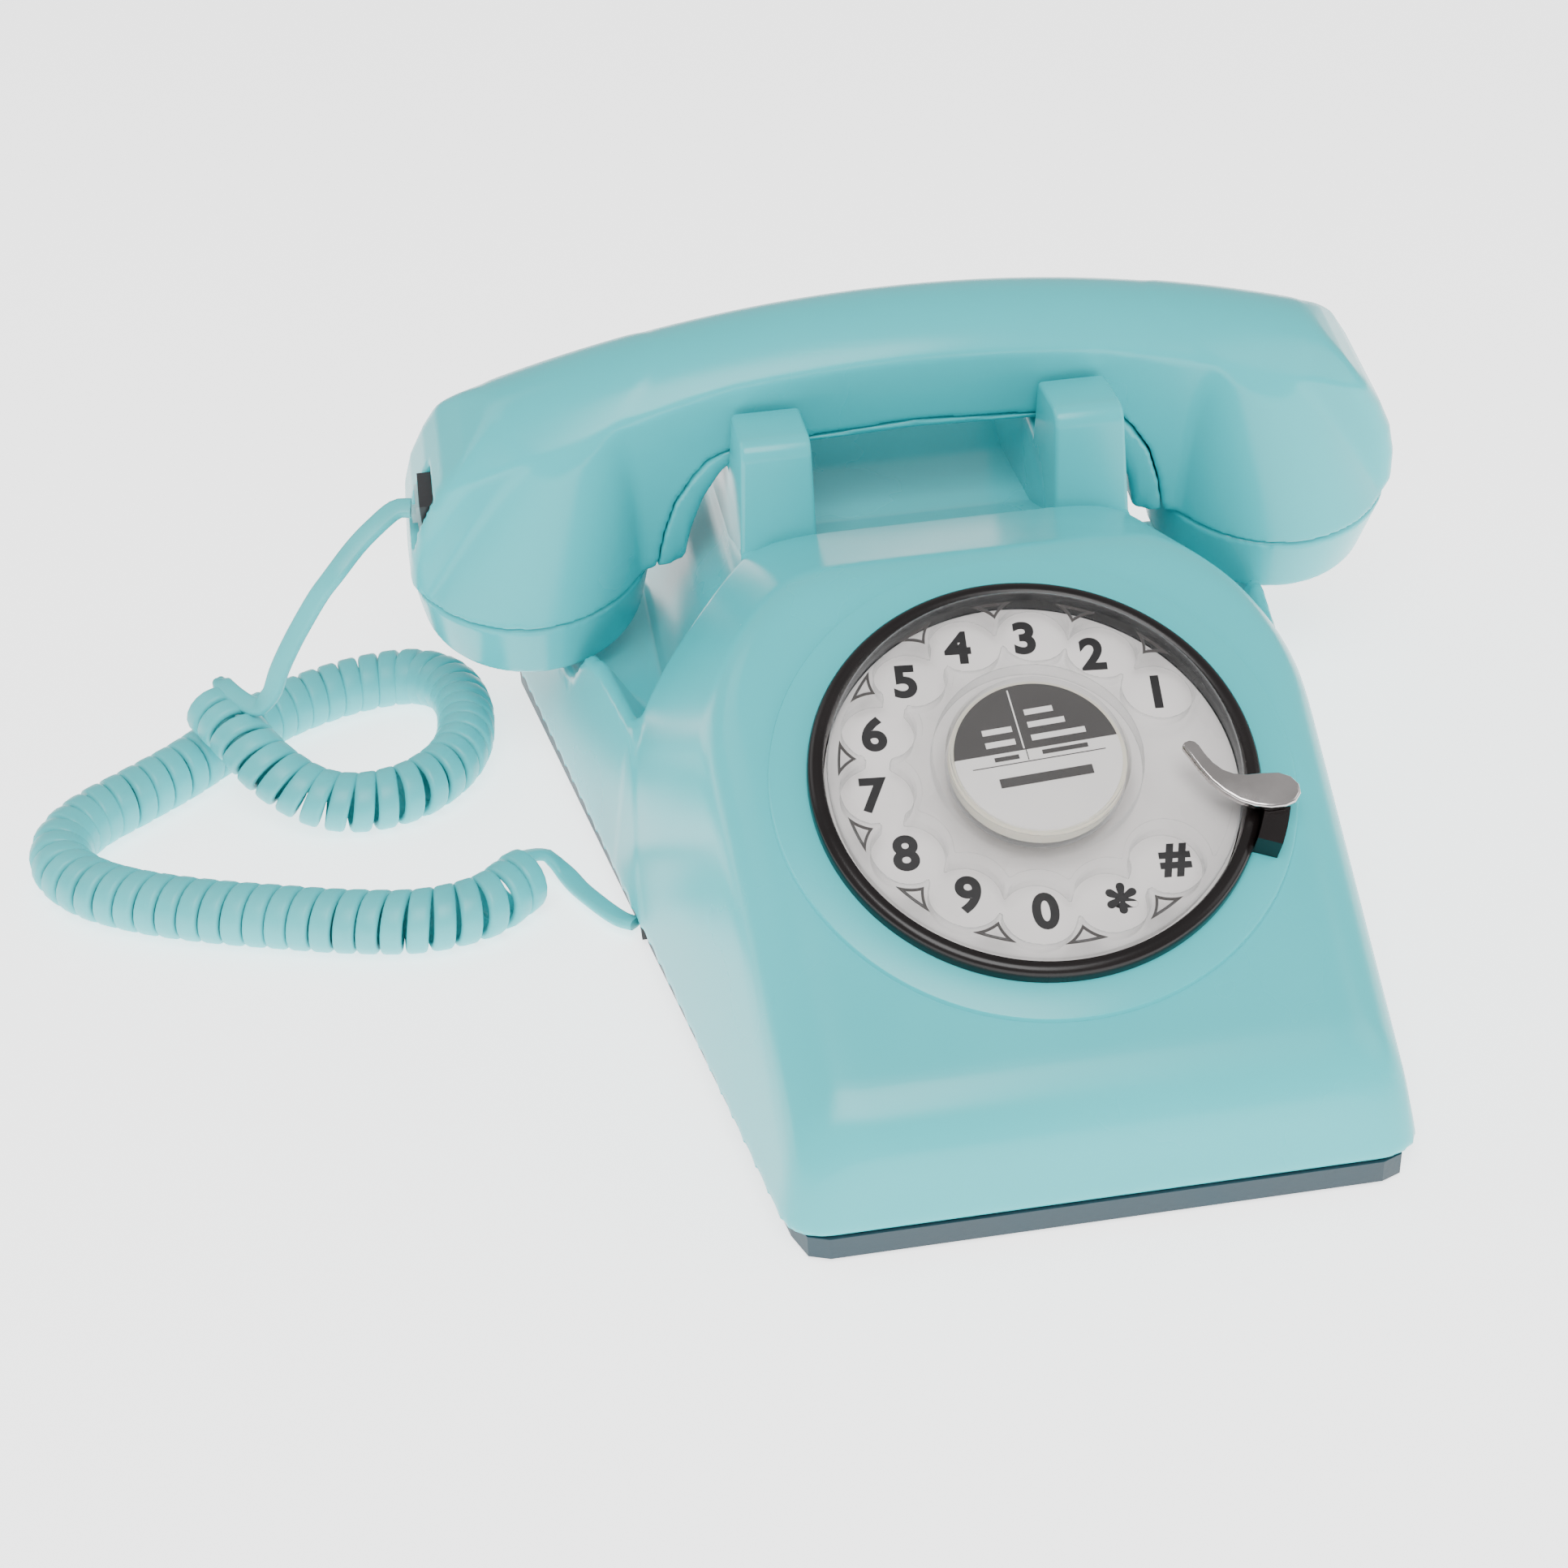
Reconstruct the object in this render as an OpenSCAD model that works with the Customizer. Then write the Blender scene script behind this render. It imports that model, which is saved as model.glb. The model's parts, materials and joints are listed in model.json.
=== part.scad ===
// Rotary-style desk telephone with a coiled handset cord.
// Millimetres. X to the right, Y to the back, Z up.
// The origin is the centre of the footprint, on the surface it stands on.

/* [Case] */
// Depth of the case from front to back
case_depth = 224; // [216:1:232]
// Half width of the case at its front edge
front_half_w = 57.5; // [54:0.5:62]
// Half width of the case at its back edge
back_half_w = 94.5; // [92:0.5:97]
// Inward lean of the side walls, per mm of height
side_lean = 0.24; // [0.18:0.01:0.26]
// Wall thickness of the moulded shells
wall = 2.6; // [2:0.1:3]
// Gap under the case that the base plate fills
case_z = 5.5; // [5:0.5:6]

/* [Dial] */
// Lean of the dial face from level, in degrees
dial_tilt = 28; // [24:1:32]
// Outer radius of the black bezel ring
bezel_r = 42; // [41:0.5:44]
// Outer radius of the clear finger wheel
wheel_r = 38.2; // [37:0.1:38.5]
// Radius of the circle that the finger holes lie on
hole_ring_r = 29.7; // [28:0.1:30]
// Radius of one finger hole
finger_hole_r = 6.75; // [6:0.05:7]
// Radius of the raised round pad that surrounds the bezel
pad_r = 49; // [47:0.5:50]
// Travel of the hands-free button
button_travel = 1.2; // [0.8:0.1:1.4]

/* [Handset] */
// Half length of the handset
handset_half_l = 114.5; // [112:0.5:116]
// Half width of an ear or mouth cup at its seam, front to back
cup_r = 31.6; // [30:0.2:32]
// Distance of a cup's centre from the middle
cup_x = 85.5; // [84:0.5:87]
// Half width of the handle
handle_half_w = 15.5; // [14:0.5:16]
// Forward roll of the handset on its cradle, in degrees
handset_roll = 15; // [12:1:16]

/* [Cord] */
// Outer diameter of the curly cord's coil
coil_d = 14; // [12:0.5:14]
// Thickness of the straight cord
cord_d = 3.4; // [2.6:0.1:3.6]

/* [Hidden] */
$fn = 64;

front_y = -case_depth / 2;
back_y = case_depth / 2;
eps = 0.01;
far = 400;

// Case surfaces
dial_y = -54;
dial_z = 60;
face_drop = 4.5;        // the dial face lies this far below the bezel's top
pad_rise = 1;
dome_offset = -24;      // centre of the hood's cone, down the face from the dial
dome_r = 78;            // cone radius at the face
hood_r = 108;           // the hood ends on this cylinder
ledge_z = 37;           // top of the side walls behind the hood
cup_floor_z = 26;       // top of the case under the cups
hump_half_w = 42.5;
prong_in_x = 26;
saddle_lean = 0.2637;   // rise of the cradle per mm, to match the rolled handset

// Dial stack, along the dial's own axis, zero at the bezel's top
skirt_r = 39.8;
opening_r = 40;
plate_z = -6.6;
plate_t = 1.2;
wheel_z0 = -3.4;
wheel_z1 = 0.6;
bead_z = 1.8;
hub_z = 5.6;
hub_r = 19.4;
button_r = 16.3;
housing_top = -14;
housing_bottom = -34;
shaft_r = 6;
stem_r = 2.6;
hole_count = 12;
hole_first = 27.5;
hole_step = 25.8;
gear_teeth = 48;
pinion_teeth = 12;
gear_r = 24;
pinion_r = 6;

// Handset, in its own frame, zero at the cups' seam
handset_y = 81;
handset_z = 52;
arch_r = 283;
crown_w = 54.5;
handle_under_w = 32;
seam_w = 35.2;
cap_depth = 17;
rim_r = 27.6;
cup_slim = 0.92;        // a cup is this much shorter along the handset

// Cradle plungers
plunger_x = 34.25;
plunger_y = 73.7;
plunger_r = 2.55;
plunger_bore_r = 2.62;

// Cord routes, chosen by hand
lead_top = [[-111.12, 69, 67.9], [-114.5, 69, 67.9], [-119.5, 66, 65.6], [-124, 63.5, 62.6], [-129, 60, 58.5], [-133, 60, 54],
    [-137, 60, 48.5], [-141, 60, 42.5], [-144.5, 60, 36.5], [-147, 60.5, 31], [-149.5, 61.5, 27.5]];
coil_route = [[-163, 73.5, 22], [-157, 64, 19.5], [-150, 55.5, 14], [-141, 50, 9], [-131, 48, 7],
    [-120, 50, 7], [-112, 57, 7], [-107.5, 66, 7], [-106, 76, 7], [-106.5, 87, 7], [-110, 97, 7],
    [-118, 103, 7], [-130, 102.5, 7], [-142, 98, 7], [-152, 91.5, 7], [-162, 82, 7],
    [-172, 71, 7], [-182, 62, 7], [-191, 54, 7], [-196, 45, 7], [-195, 35, 7], [-188, 26, 7],
    [-177, 18.5, 7], [-163, 12, 7], [-148, 6.5, 7], [-133, 1.5, 7], [-118, -1.5, 7],
    [-105, 1, 7], [-96, 9, 7]];
lead_base = [[-92.5, 16.5, 9], [-89.8, 18, 5.4], [-87.2, 15.6, 2.8], [-84.8, 10, 2.4],
    [-82, 4, 2.8], [-79, -1.5, 3], [-76.6, -4.8, 3], [-74.1, -6.6, 3]];

function arc(cy, cz, r, a0, a1, n) = [for (i = [0:n]) let (a = a0 + (a1 - a0) * i / n)
    [cy + r * cos(a), cz + r * sin(a)]];
function face_z(y, inset) = dial_z + tan(dial_tilt) * (y - dial_y)
    - (face_drop + inset) / cos(dial_tilt);
function unit(v) = v / norm(v);
// Direction of a route at one of its points
function heading(p, i) = unit(p[min(i + 1, len(p) - 1)] - p[max(i - 1, 0)]);
function side_of(d) = unit(cross(d, abs(d[2]) > 0.9 ? [1, 0, 0] : [0, 0, 1]));
function arch_drop(u) = u * u / (2 * arch_r);

// A closed tube swept through the points of a route
module route_tube(p, r, sides) {
    rings = [for (i = [0:len(p) - 1]) let (d = heading(p, i), a = side_of(d), b = cross(d, a))
        for (k = [0:sides - 1]) p[i] + r * (cos(360 * k / sides) * a + sin(360 * k / sides) * b)];
    last = (len(p) - 1) * sides;
    polyhedron(points = rings, faces = concat(
        [[for (k = [0:sides - 1]) k]],
        [[for (k = [0:sides - 1]) last + sides - 1 - k]],
        [for (i = [0:len(p) - 2], k = [0:sides - 1]) let (m = (k + 1) % sides)
            [i * sides + k, (i + 1) * sides + k, (i + 1) * sides + m]],
        [for (i = [0:len(p) - 2], k = [0:sides - 1]) let (m = (k + 1) % sides)
            [i * sides + k, (i + 1) * sides + m, i * sides + m]]));
}

module at_dial(h) {
    translate([0, dial_y, dial_z]) rotate([dial_tilt, 0, 0]) translate([0, 0, h]) children();
}

module at_handset() {
    translate([0, handset_y, handset_z]) rotate([handset_roll, 0, 0]) children();
}

module disc(r, z0, z1) {
    translate([0, 0, z0]) cylinder(h = z1 - z0, r = r);
}

module tube(r_out, r_in, z0, z1) {
    difference() {
        disc(r_out, z0, z1);
        disc(r_in, z0 - 1, z1 + 1);
    }
}

// A solid between four side walls that lean inwards, from the case's lower edge up
module wall_frustum(inset, z0) {
    top = 110;
    lean = side_lean * (top - case_z);
    y0 = front_y + inset;
    y1 = back_y - inset;
    f = front_half_w - inset;
    b = back_half_w - inset;
    f0 = f + side_lean * (case_z - z0);
    b0 = b + side_lean * (case_z - z0);
    polyhedron(points = [[-f0, y0, z0], [f0, y0, z0], [b0, y1, z0], [-b0, y1, z0],
        [-f + lean, y0 + 4, top], [f - lean, y0 + 4, top],
        [b - lean, y1 - 8, top], [-b + lean, y1 - 8, top]],
        faces = [[0, 1, 2, 3], [7, 6, 5, 4], [0, 4, 5, 1], [1, 5, 6, 2], [2, 6, 7, 3], [3, 7, 4, 0]]);
}

// Everything below a line drawn in the YZ plane
module under_profile(points) {
    rotate([90, 0, 90]) translate([0, 0, -far / 2]) linear_extrude(far) polygon(points);
}

// The wedge-shaped front with its coned hood
module hood(inset) {
    y_end = 60;
    intersection() {
        under_profile([[front_y - 1, -5], [front_y - 1, face_z(front_y - 1, inset)],
            [y_end, face_z(y_end, inset)], [y_end, -5]]);
        at_dial(0) translate([0, dome_offset, -90 - face_drop]) {
            cylinder(h = 90 - inset, r1 = dome_r + 90 - inset * 1.4, r2 = dome_r - inset * 0.4, $fn = 128);
        }
        at_dial(0) translate([0, dome_offset, -140]) cylinder(h = 200, r = hood_r - inset, $fn = 128);
    }
}

// The low sides that the cups hang over
module low_sides(inset) {
    under_profile([[front_y - 1, -5], [front_y - 1, 8 - inset], [0, ledge_z - inset],
        [44 - inset, ledge_z - inset], [53 - inset, cup_floor_z - inset],
        [back_y + 1, cup_floor_z - inset], [back_y + 1, -5]]);
}

// The raised middle between the cups
module hump(inset) {
    intersection() {
        translate([-hump_half_w + inset, 20, -5])
            cube([2 * (hump_half_w - inset), back_y - 20, 120]);
        under_profile([[20, -5], [20, 70 - inset], [36, 65 - inset], [60, 57 - inset],
            [88, 57 - inset], [102 - inset, 62 - inset], [105 - inset, 58 - inset],
            [back_y + 1, 10], [back_y + 1, -5]]);
    }
}

module case_form(inset) {
    intersection() {
        wall_frustum(inset, inset > 0 ? 0 : case_z);
        union() {
            hood(inset);
            low_sides(inset);
            hump(inset);
        }
    }
}

// One side of the cradle: a front prong, a saddle and a rear prong
module cradle_side(s) {
    x0 = s > 0 ? prong_in_x : -hump_half_w;
    saddle_y = 57.2;
    saddle_z = 74.8;
    rear_y = 88.5;
    rotate([90, 0, 90]) translate([0, 0, x0]) linear_extrude(hump_half_w - prong_in_x)
        polygon([[36, 50], [36, 84.5], [37, 87], [39, 88.5], [41.5, 88.8], [54, 88.8],
            [saddle_y, saddle_z], [rear_y, saddle_z + saddle_lean * (rear_y - saddle_y)],
            [rear_y, 93], [98, 93], [100.5, 91.5], [104, 58], [104, 50]]);
}

module screw_bosses() {
    for (s = [-1, 1]) {
        translate([s * 51, -101, case_z]) cylinder(h = 14, r = 5);
        translate([s * 85, 102, case_z]) cylinder(h = 14, r = 5);
    }
}

module screw_bores(r, z0, h) {
    for (s = [-1, 1]) {
        translate([s * 51, -101, z0]) cylinder(h = h, r = r);
        translate([s * 85, 102, z0]) cylinder(h = h, r = r);
    }
}

module case_shell() {
    color("mediumturquoise") difference() {
        union() {
            difference() {
                union() {
                    case_form(0);
                    at_dial(0) disc(pad_r, -face_drop - 3, -face_drop + pad_rise);
                    for (s = [-1, 1]) cradle_side(s);
                }
                difference() {
                    case_form(wall);
                    for (s = [-1, 1]) translate([s * plunger_x, plunger_y, 51]) cylinder(h = 60, r = 5);
                }
            }
            intersection() {
                screw_bosses();
                wall_frustum(1, case_z);
            }
        }
        at_dial(0) disc(opening_r, -30, 10);
        for (s = [-1, 1]) translate([s * plunger_x, plunger_y, 30]) {
            cylinder(h = 60, r = plunger_bore_r);
        }
        screw_bores(1.5, 0, 17);
        // line socket and volume slot in the back
        translate([24, 100, 8]) cube([14, 20, 11]);
        translate([-41, 100, 11]) cube([16, 20, 3.4]);
    }
}

module base_plate() {
    inset = 2.5;
    front_inset = 0.3;
    color("darkslategray") difference() {
        translate([0, 0, 1]) linear_extrude(4.5) polygon([
            [-front_half_w + inset + 5, front_y + front_inset], [front_half_w - inset - 5, front_y + front_inset],
            [front_half_w - inset - 1.2, front_y + front_inset + 1.5],
            [front_half_w - inset + 1, front_y + inset + 5], [back_half_w - inset, back_y - inset - 5],
            [back_half_w - inset - 5, back_y - inset], [-back_half_w + inset + 5, back_y - inset],
            [-back_half_w + inset, back_y - inset - 5], [-front_half_w + inset - 1, front_y + inset + 5],
            [-front_half_w + inset + 1.2, front_y + front_inset + 1.5]]);
        screw_bores(3.2, 0, 3.5);
        screw_bores(1.7, 0, 10);
        for (i = [-3:3]) translate([i * 5 - 1, 8, 0]) cube([2, 28, 10]);
        for (p = foot_places) translate([p[0], p[1], 0.5]) cylinder(h = 2, r = 7);
        translate([-85, -11.2, 0]) cube([22, 9.4, 10]);
    }
}

foot_places = [[-42, -92], [42, -92], [-72, 88], [72, 88]];

module rubber_feet() {
    color("dimgray") for (p = foot_places) translate([p[0], p[1], 0]) {
        cylinder(h = 2.5, r1 = 6.2, r2 = 7);
    }
}

module case_screws() {
    color("silver") {
        screw_bores(3.1, 2, 1.5);
        screw_bores(1.5, 3.5, 12);
    }
}

module ballast_weight() {
    color("gray") translate([-28, -102, case_z]) cube([56, 30, 3.5]);
}

module dial_bezel() {
    color("black") at_dial(0) rotate_extrude($fn = 128) polygon([[38.9, 0], [41.3, 0],
        [bezel_r, -0.7], [bezel_r, -3.5], [skirt_r, -3.5], [skirt_r, housing_top],
        [37.5, housing_top], [37.5, plate_z], [38.9, plate_z]]);
}

module number_plate() {
    color("whitesmoke") at_dial(0) tube(38.7, shaft_r + 0.6, plate_z, plate_z + plate_t);
}

module dial_housing() {
    color("dimgray") at_dial(0) difference() {
        union() {
            tube(skirt_r, 37.5, housing_bottom, housing_top);
            disc(skirt_r, housing_bottom, housing_bottom + 2);
        }
        disc(shaft_r + 0.05, housing_bottom - 1, housing_bottom + 3);
    }
}

module finger_wheel() {
    color([0.9, 0.95, 0.96, 0.4]) at_dial(0) difference() {
        union() {
            disc(wheel_r, wheel_z0, wheel_z1);
            tube(wheel_r, wheel_r - 1.6, wheel_z1 - 1, bead_z);
            tube(hub_r, button_r + 0.5, wheel_z1 - 1, hub_z);
        }
        disc(button_r + 0.5, -0.4, 10);
        disc(stem_r + 0.5, -10, 10);
        for (i = [0:hole_count - 1]) rotate([0, 0, hole_first + i * hole_step]) {
            translate([hole_ring_r, 0, 0]) disc(finger_hole_r, -10, 10);
        }
    }
}

module dial_shaft() {
    color("silver") at_dial(0) tube(shaft_r, stem_r + 0.5, housing_bottom + 0.2, wheel_z0);
}

// A flat gear with plain, loosely meshing teeth
module gear(r, teeth, t, phase) {
    root = r - 1;
    linear_extrude(t) union() {
        circle(r = root);
        for (i = [0:teeth - 1]) rotate(phase + i * 360 / teeth)
            polygon([[root - 0.5, -0.6], [r + 0.6, -0.4], [r + 0.6, 0.4], [root - 0.5, 0.6]]);
    }
}

module main_gear() {
    color("goldenrod") at_dial(-20) difference() {
        gear(gear_r, gear_teeth, 3, 90 + 180 / gear_teeth);
        disc(shaft_r + 0.02, -1, 4);
    }
}

module return_spring() {
    color("silver") at_dial(0) for (i = [0:5]) rotate_extrude()
        translate([9.5, -30.6 + i * 1.3]) circle(r = 0.75, $fn = 16);
}

module governor_pinion() {
    color("ivory") at_dial(0) translate([0, gear_r + pinion_r, 0]) difference() {
        union() {
            translate([0, 0, -21]) gear(pinion_r, pinion_teeth, 5, 90);
            disc(4.8, -30.5, -21);
        }
        disc(1.55, -40, 0);
    }
}

module governor_post() {
    color("silver") at_dial(0) translate([0, gear_r + pinion_r, 0]) disc(1.5, housing_bottom + 2, -14.5);
}

module dial_board() {
    color("darkgreen") at_dial(0) disc(22, -41, -39.5);
}

module pulse_contacts() {
    color("tan") at_dial(0) translate([14, 16, housing_bottom + 2]) cube([9, 6, 8]);
}

module finger_stop() {
    stop_z = 2.3;
    color("lightgray") at_dial(stop_z) linear_extrude(1.9) polygon([[26.7, -1.2], [28.4, -0.2],
        [29.9, -1.2], [30.8, -3.6], [32.4, -6.4], [35, -8.4], [39, -8.9], [43, -9.3],
        [45.8, -10.9], [46.2, -13.4], [44.6, -15.5], [41.8, -16.3], [37.8, -15.8], [34.2, -14],
        [31.2, -10.8], [29, -6.6], [27.6, -3.2]]);
}

module finger_stop_block() {
    // stands on the pad beside the bezel and overhangs its edge
    color("black") at_dial(0) intersection() {
        tube(46.6, bezel_r + 0.05, -3.5, 2.3);
        rotate([0, 0, -24]) translate([40, -4.5, -5]) cube([10, 11, 10]);
    }
}

module handsfree_cap() {
    color([0.9, 0.95, 0.96, 0.4]) at_dial(0) disc(button_r, 4.6, 6.2);
}

module button_label() {
    color("white") at_dial(0) disc(15.4, 4, 4.6);
}

module button_carrier() {
    color("gainsboro") at_dial(0) {
        disc(button_r, 1.2, 4);
        disc(stem_r, housing_bottom, 1.2 + eps);
    }
}

module button_switch() {
    color("black") at_dial(0) translate([-3, -3, -39.5]) cube([6, 6, 3.9]);
}

module main_board() {
    color("darkgreen") difference() {
        translate([-38, 2, 26]) cube([76, 50, 1.6]);
        for (x = [-34, 34], y = [6, 48]) translate([x, y, 20]) cylinder(h = 10, r = 1.6);
    }
}

module board_parts() {
    color("dimgray") {
        translate([-12, 20, 27.6]) cube([14, 10, 3]);
        translate([10, 12, 27.6]) cylinder(h = 10, r = 4);
        translate([20, 14, 27.6]) cylinder(h = 10, r = 4);
        translate([-30, 34, 27.6]) cube([16, 10, 9]);
        translate([14, 32, 27.6]) cube([10, 14, 6]);
    }
}

module plunger(s) {
    top_z = 80.3;
    translate([s * plunger_x, plunger_y, 50]) cylinder(h = top_z - 50 - 1, r = plunger_r);
    translate([s * plunger_x, plunger_y, top_z - 1]) cylinder(h = 1, r1 = plunger_r, r2 = plunger_r - 0.8);
}

module plunger_left() {
    color("ivory") plunger(-1);
}

module plunger_right() {
    color("ivory") plunger(1);
}

module hook_bar() {
    color("silver") {
        translate([-37.5, 71.2, 44]) cube([75, 5, 2]);
        for (s = [-1, 1]) translate([s * plunger_x, plunger_y, 45]) cylinder(h = 5, r = 2.5);
    }
}

module hook_switch() {
    color("black") translate([-7, 69, 36]) cube([14, 8, 7.6]);
}

module hook_springs() {
    color("silver") for (s = [-1, 1], i = [0:4]) translate([s * 18, plunger_y, 37 + i * 1.4])
        rotate_extrude() translate([2.6, 0]) circle(r = 0.8, $fn = 16);
}

module gong(s) {
    translate([s * 31, 66, 9]) difference() {
        union() {
            cylinder(h = 8, r1 = 23.5, r2 = 22);
            translate([0, 0, 8]) cylinder(h = 5, r1 = 22, r2 = 12);
        }
        translate([0, 0, -eps]) cylinder(h = 7.6, r1 = 22.3, r2 = 20.8);
        translate([0, 0, 7.5]) cylinder(h = 4.2, r1 = 20.8, r2 = 11);
        cylinder(h = 20, r = 2.03);
    }
}

module gong_left() {
    color("goldenrod") gong(-1);
}

module gong_right() {
    color("goldenrod") gong(1);
}

module gong_posts() {
    color("silver") for (s = [-1, 1]) translate([s * 31, 66, case_z]) {
        cylinder(h = 17.5, r = 2);
        cylinder(h = 3, r = 5);
    }
}

module ringer_frame() {
    color("gray") difference() {
        union() {
            translate([-12, 98, case_z]) cube([24, 2, 30.5]);
            translate([-22, 67, 34]) cube([44, 33, 2]);
        }
        translate([0, 92, 30]) cylinder(h = 10, r = 1.5);
    }
}

module ringer_coil() {
    color("peru") translate([-32, 95, 10]) rotate([0, 90, 0]) {
        cylinder(h = 18, r = 4);
        cylinder(h = 1.5, r = 4.5);
        translate([0, 0, 16.5]) cylinder(h = 1.5, r = 4.5);
    }
}

module clapper() {
    color("silver") {
        translate([0, 92, 13]) cylinder(h = 21, r = 1.45);
        translate([-1, 66, 14]) cube([2, 26, 2]);
        translate([0, 64, 15]) sphere(r = 3, $fn = 32);
    }
}

module loudspeaker() {
    color("dimgray") translate([0, 22, case_z]) {
        tube(20, 18, 0, 3);
        disc(20, 3, 5);
        disc(11, 5, 12);
    }
}

module line_jack() {
    color("black") difference() {
        translate([24.2, 95, 8.2]) cube([13.6, 14.5, 10.6]);
        translate([26, 99, 10]) cube([10, 30, 7]);
    }
}

// Outer body of a four-way cord socket; the plug fills it from the left
module cord_jack(x, y, z) {
    translate([x, y - 5.8, z - 4.8]) difference() {
        cube([12, 11.6, 9.6]);
        translate([-1, 1.8, 1.4]) cube([11, 8, 6.8]);
    }
}

module cord_plug(x, y, z) {
    translate([x, y - 3.9, z - 3.3]) cube([10.5, 7.8, 6.6]);
    translate([x - 1.2, y - 1.6, z - 3]) cube([1.2 + eps, 3.2, 2.6]);
}

// The clamp that grips the cord where it goes in under the case
module cord_clamp() {
    color("black") translate([-73.2, -11, 1.7]) cube([10, 9, 3.6]);
}

module volume_slider() {
    color("black") {
        translate([-37, 104, 11.2]) cube([6, 4, 3]);
        translate([-35.5, 107.9, 11.6]) cube([3, 4, 2.2]);
    }
}

// Side outline of the whole handset, drawn in (length, height)
function handset_outline(i) = concat(
    [for (u = [-92:8:92]) [u, crown_w - i - arch_drop(u)]],
    [[100 - i * 0.4, 33.5 - i], [107.5 - i * 0.8, 24], [112.5 - i, 11], [handset_half_l - i, 0],
     [handset_half_l - 2 - i, -30], [-handset_half_l + 2 + i, -30], [-handset_half_l + i, 0],
     [-112.5 + i, 11], [-107.5 + i * 0.8, 24], [-100 + i * 0.4, 33.5 - i]]);

// The line along which the two handset shells part
function parting_line() = concat(
    [[-130, 0], [-58.5, 0], [-56.5, 10], [-53.5, 19], [-49, 26], [-42, 30.6]],
    [for (u = [-36:9:36]) [u, seam_w - arch_drop(u)]],
    [[42, 30.6], [49, 26], [53.5, 19], [56.5, 10], [58.5, 0], [130, 0]]);

module along_v(half, points) {
    rotate([90, 0, 0]) translate([0, 0, -half]) linear_extrude(2 * half) polygon(points);
}

// A cup that narrows above its seam and leans towards the handle's crease
module cup(s, i) {
    levels = [[-cap_depth + i, cup_x, rim_r], [0, cup_x, cup_r], [21, cup_x - 6, 25.6],
        [crown_w - 3 - i, cup_x - 14, 15]];
    hull() for (q = levels) translate([s * q[1], 0, q[0]]) scale([cup_slim, 1, 1])
        cylinder(h = 0.1, r = q[2] - i, $fn = 48);
}

module handset_form(i) {
    union() {
        intersection() {
            along_v(handle_half_w - i, handset_outline(i));
            along_v(40, concat([[-130, 80], [-130, 0]], [[-61 + 2 * i, 0], [-59 + i, 9], [-55.5 + i, 17.5],
                [-51 + i, 24], [-43, 28.6 + i]],
                [for (u = [-36:9:36]) [u, handle_under_w + i - arch_drop(u)]],
                [[43, 28.6 + i], [51 - i, 24], [55.5 - i, 17.5], [59 - i, 9], [61 - 2 * i, 0],
                 [130, 0], [130, 80]]));
        }
        intersection() {
            for (s = [-1, 1]) cup(s, i);
            along_v(40, handset_outline(i));
        }
    }
}

module grille(s, rings) {
    translate([s * cup_x, 0, -cap_depth - 1]) {
        cylinder(h = 5, r = 1.1);
        for (k = [1:rings], j = [0:6 * k - 1]) rotate([0, 0, j * 60 / k])
            translate([5 * k, 0, 0]) cylinder(h = 5, r = 1.1, $fn = 16);
    }
}

module handset_socket() {
    at_handset() translate([-125, -13.6, 13.4]) cube([28.6, 12.2, 10.2]);
}

module handset_upper() {
    color("mediumturquoise") difference() {
        at_handset() intersection() {
            difference() {
                handset_form(0);
                handset_form(wall);
            }
            along_v(40, concat(parting_line(), [[130, 80], [-130, 80]]));
        }
        handset_socket();
    }
}

module handset_lower() {
    color("mediumturquoise") at_handset() difference() {
        intersection() {
            difference() {
                handset_form(0);
                handset_form(wall);
            }
            along_v(40, concat(parting_line(), [[130, -40], [-130, -40]]));
        }
        grille(1, 2);
        grille(-1, 3);
        for (s = [-1, 1]) translate([s * 22, 0, 20]) cylinder(h = 20, r = 1.6);
    }
}

module receiver_capsule() {
    color("dimgray") at_handset() translate([cup_x, 0, -12]) {
        disc(20, 0, 6);
        disc(12, 6, 12);
    }
}

module microphone_capsule() {
    color("dimgray") at_handset() translate([-cup_x, 0, -12]) {
        disc(18, 0, 5);
        disc(5, 5, 8);
    }
}

module handset_weight() {
    color("gray") at_handset() translate([-35, -9, 38]) cube([70, 18, 7]);
}

module handset_screws() {
    color("silver") at_handset() for (s = [-1, 1]) translate([s * 22, 0, 0]) {
        disc(1.5, 31.5, 38);
    }
}

module handset_cord_jack() {
    color("black") at_handset() cord_jack(-109, -7.5, 18.5);
}

module handset_cord_plug() {
    color([0.85, 0.9, 0.9, 0.5]) at_handset() cord_plug(-109.9, -7.5, 18.5);
}

module cord_lead_handset() {
    color("mediumturquoise") route_tube(lead_top, cord_d / 2, 8);
}

module cord_coil() {
    color("mediumturquoise") route_tube(coil_route, coil_d / 2 - 0.01, 12);
}

module cord_lead_base() {
    color("mediumturquoise") route_tube(lead_base, cord_d / 2, 8);
}

case_shell();
base_plate();
rubber_feet();
case_screws();
ballast_weight();
dial_bezel();
number_plate();
dial_housing();
finger_wheel();
dial_shaft();
main_gear();
return_spring();
governor_pinion();
governor_post();
dial_board();
pulse_contacts();
finger_stop();
finger_stop_block();
handsfree_cap();
button_label();
button_carrier();
button_switch();
main_board();
board_parts();
plunger_left();
plunger_right();
hook_bar();
hook_switch();
hook_springs();
gong_left();
gong_right();
gong_posts();
ringer_coil();
ringer_frame();
clapper();
loudspeaker();
line_jack();
cord_clamp();
volume_slider();
handset_upper();
handset_lower();
receiver_capsule();
microphone_capsule();
handset_weight();
handset_screws();
handset_cord_jack();
handset_cord_plug();
cord_lead_handset();
cord_coil();
cord_lead_base();
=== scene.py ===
"""A desk telephone with a finger dial, an arched handset and a curly cord.

Every sub-assembly is a class that holds its sizes in metres and builds its own meshes and finishes.
"""

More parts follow.
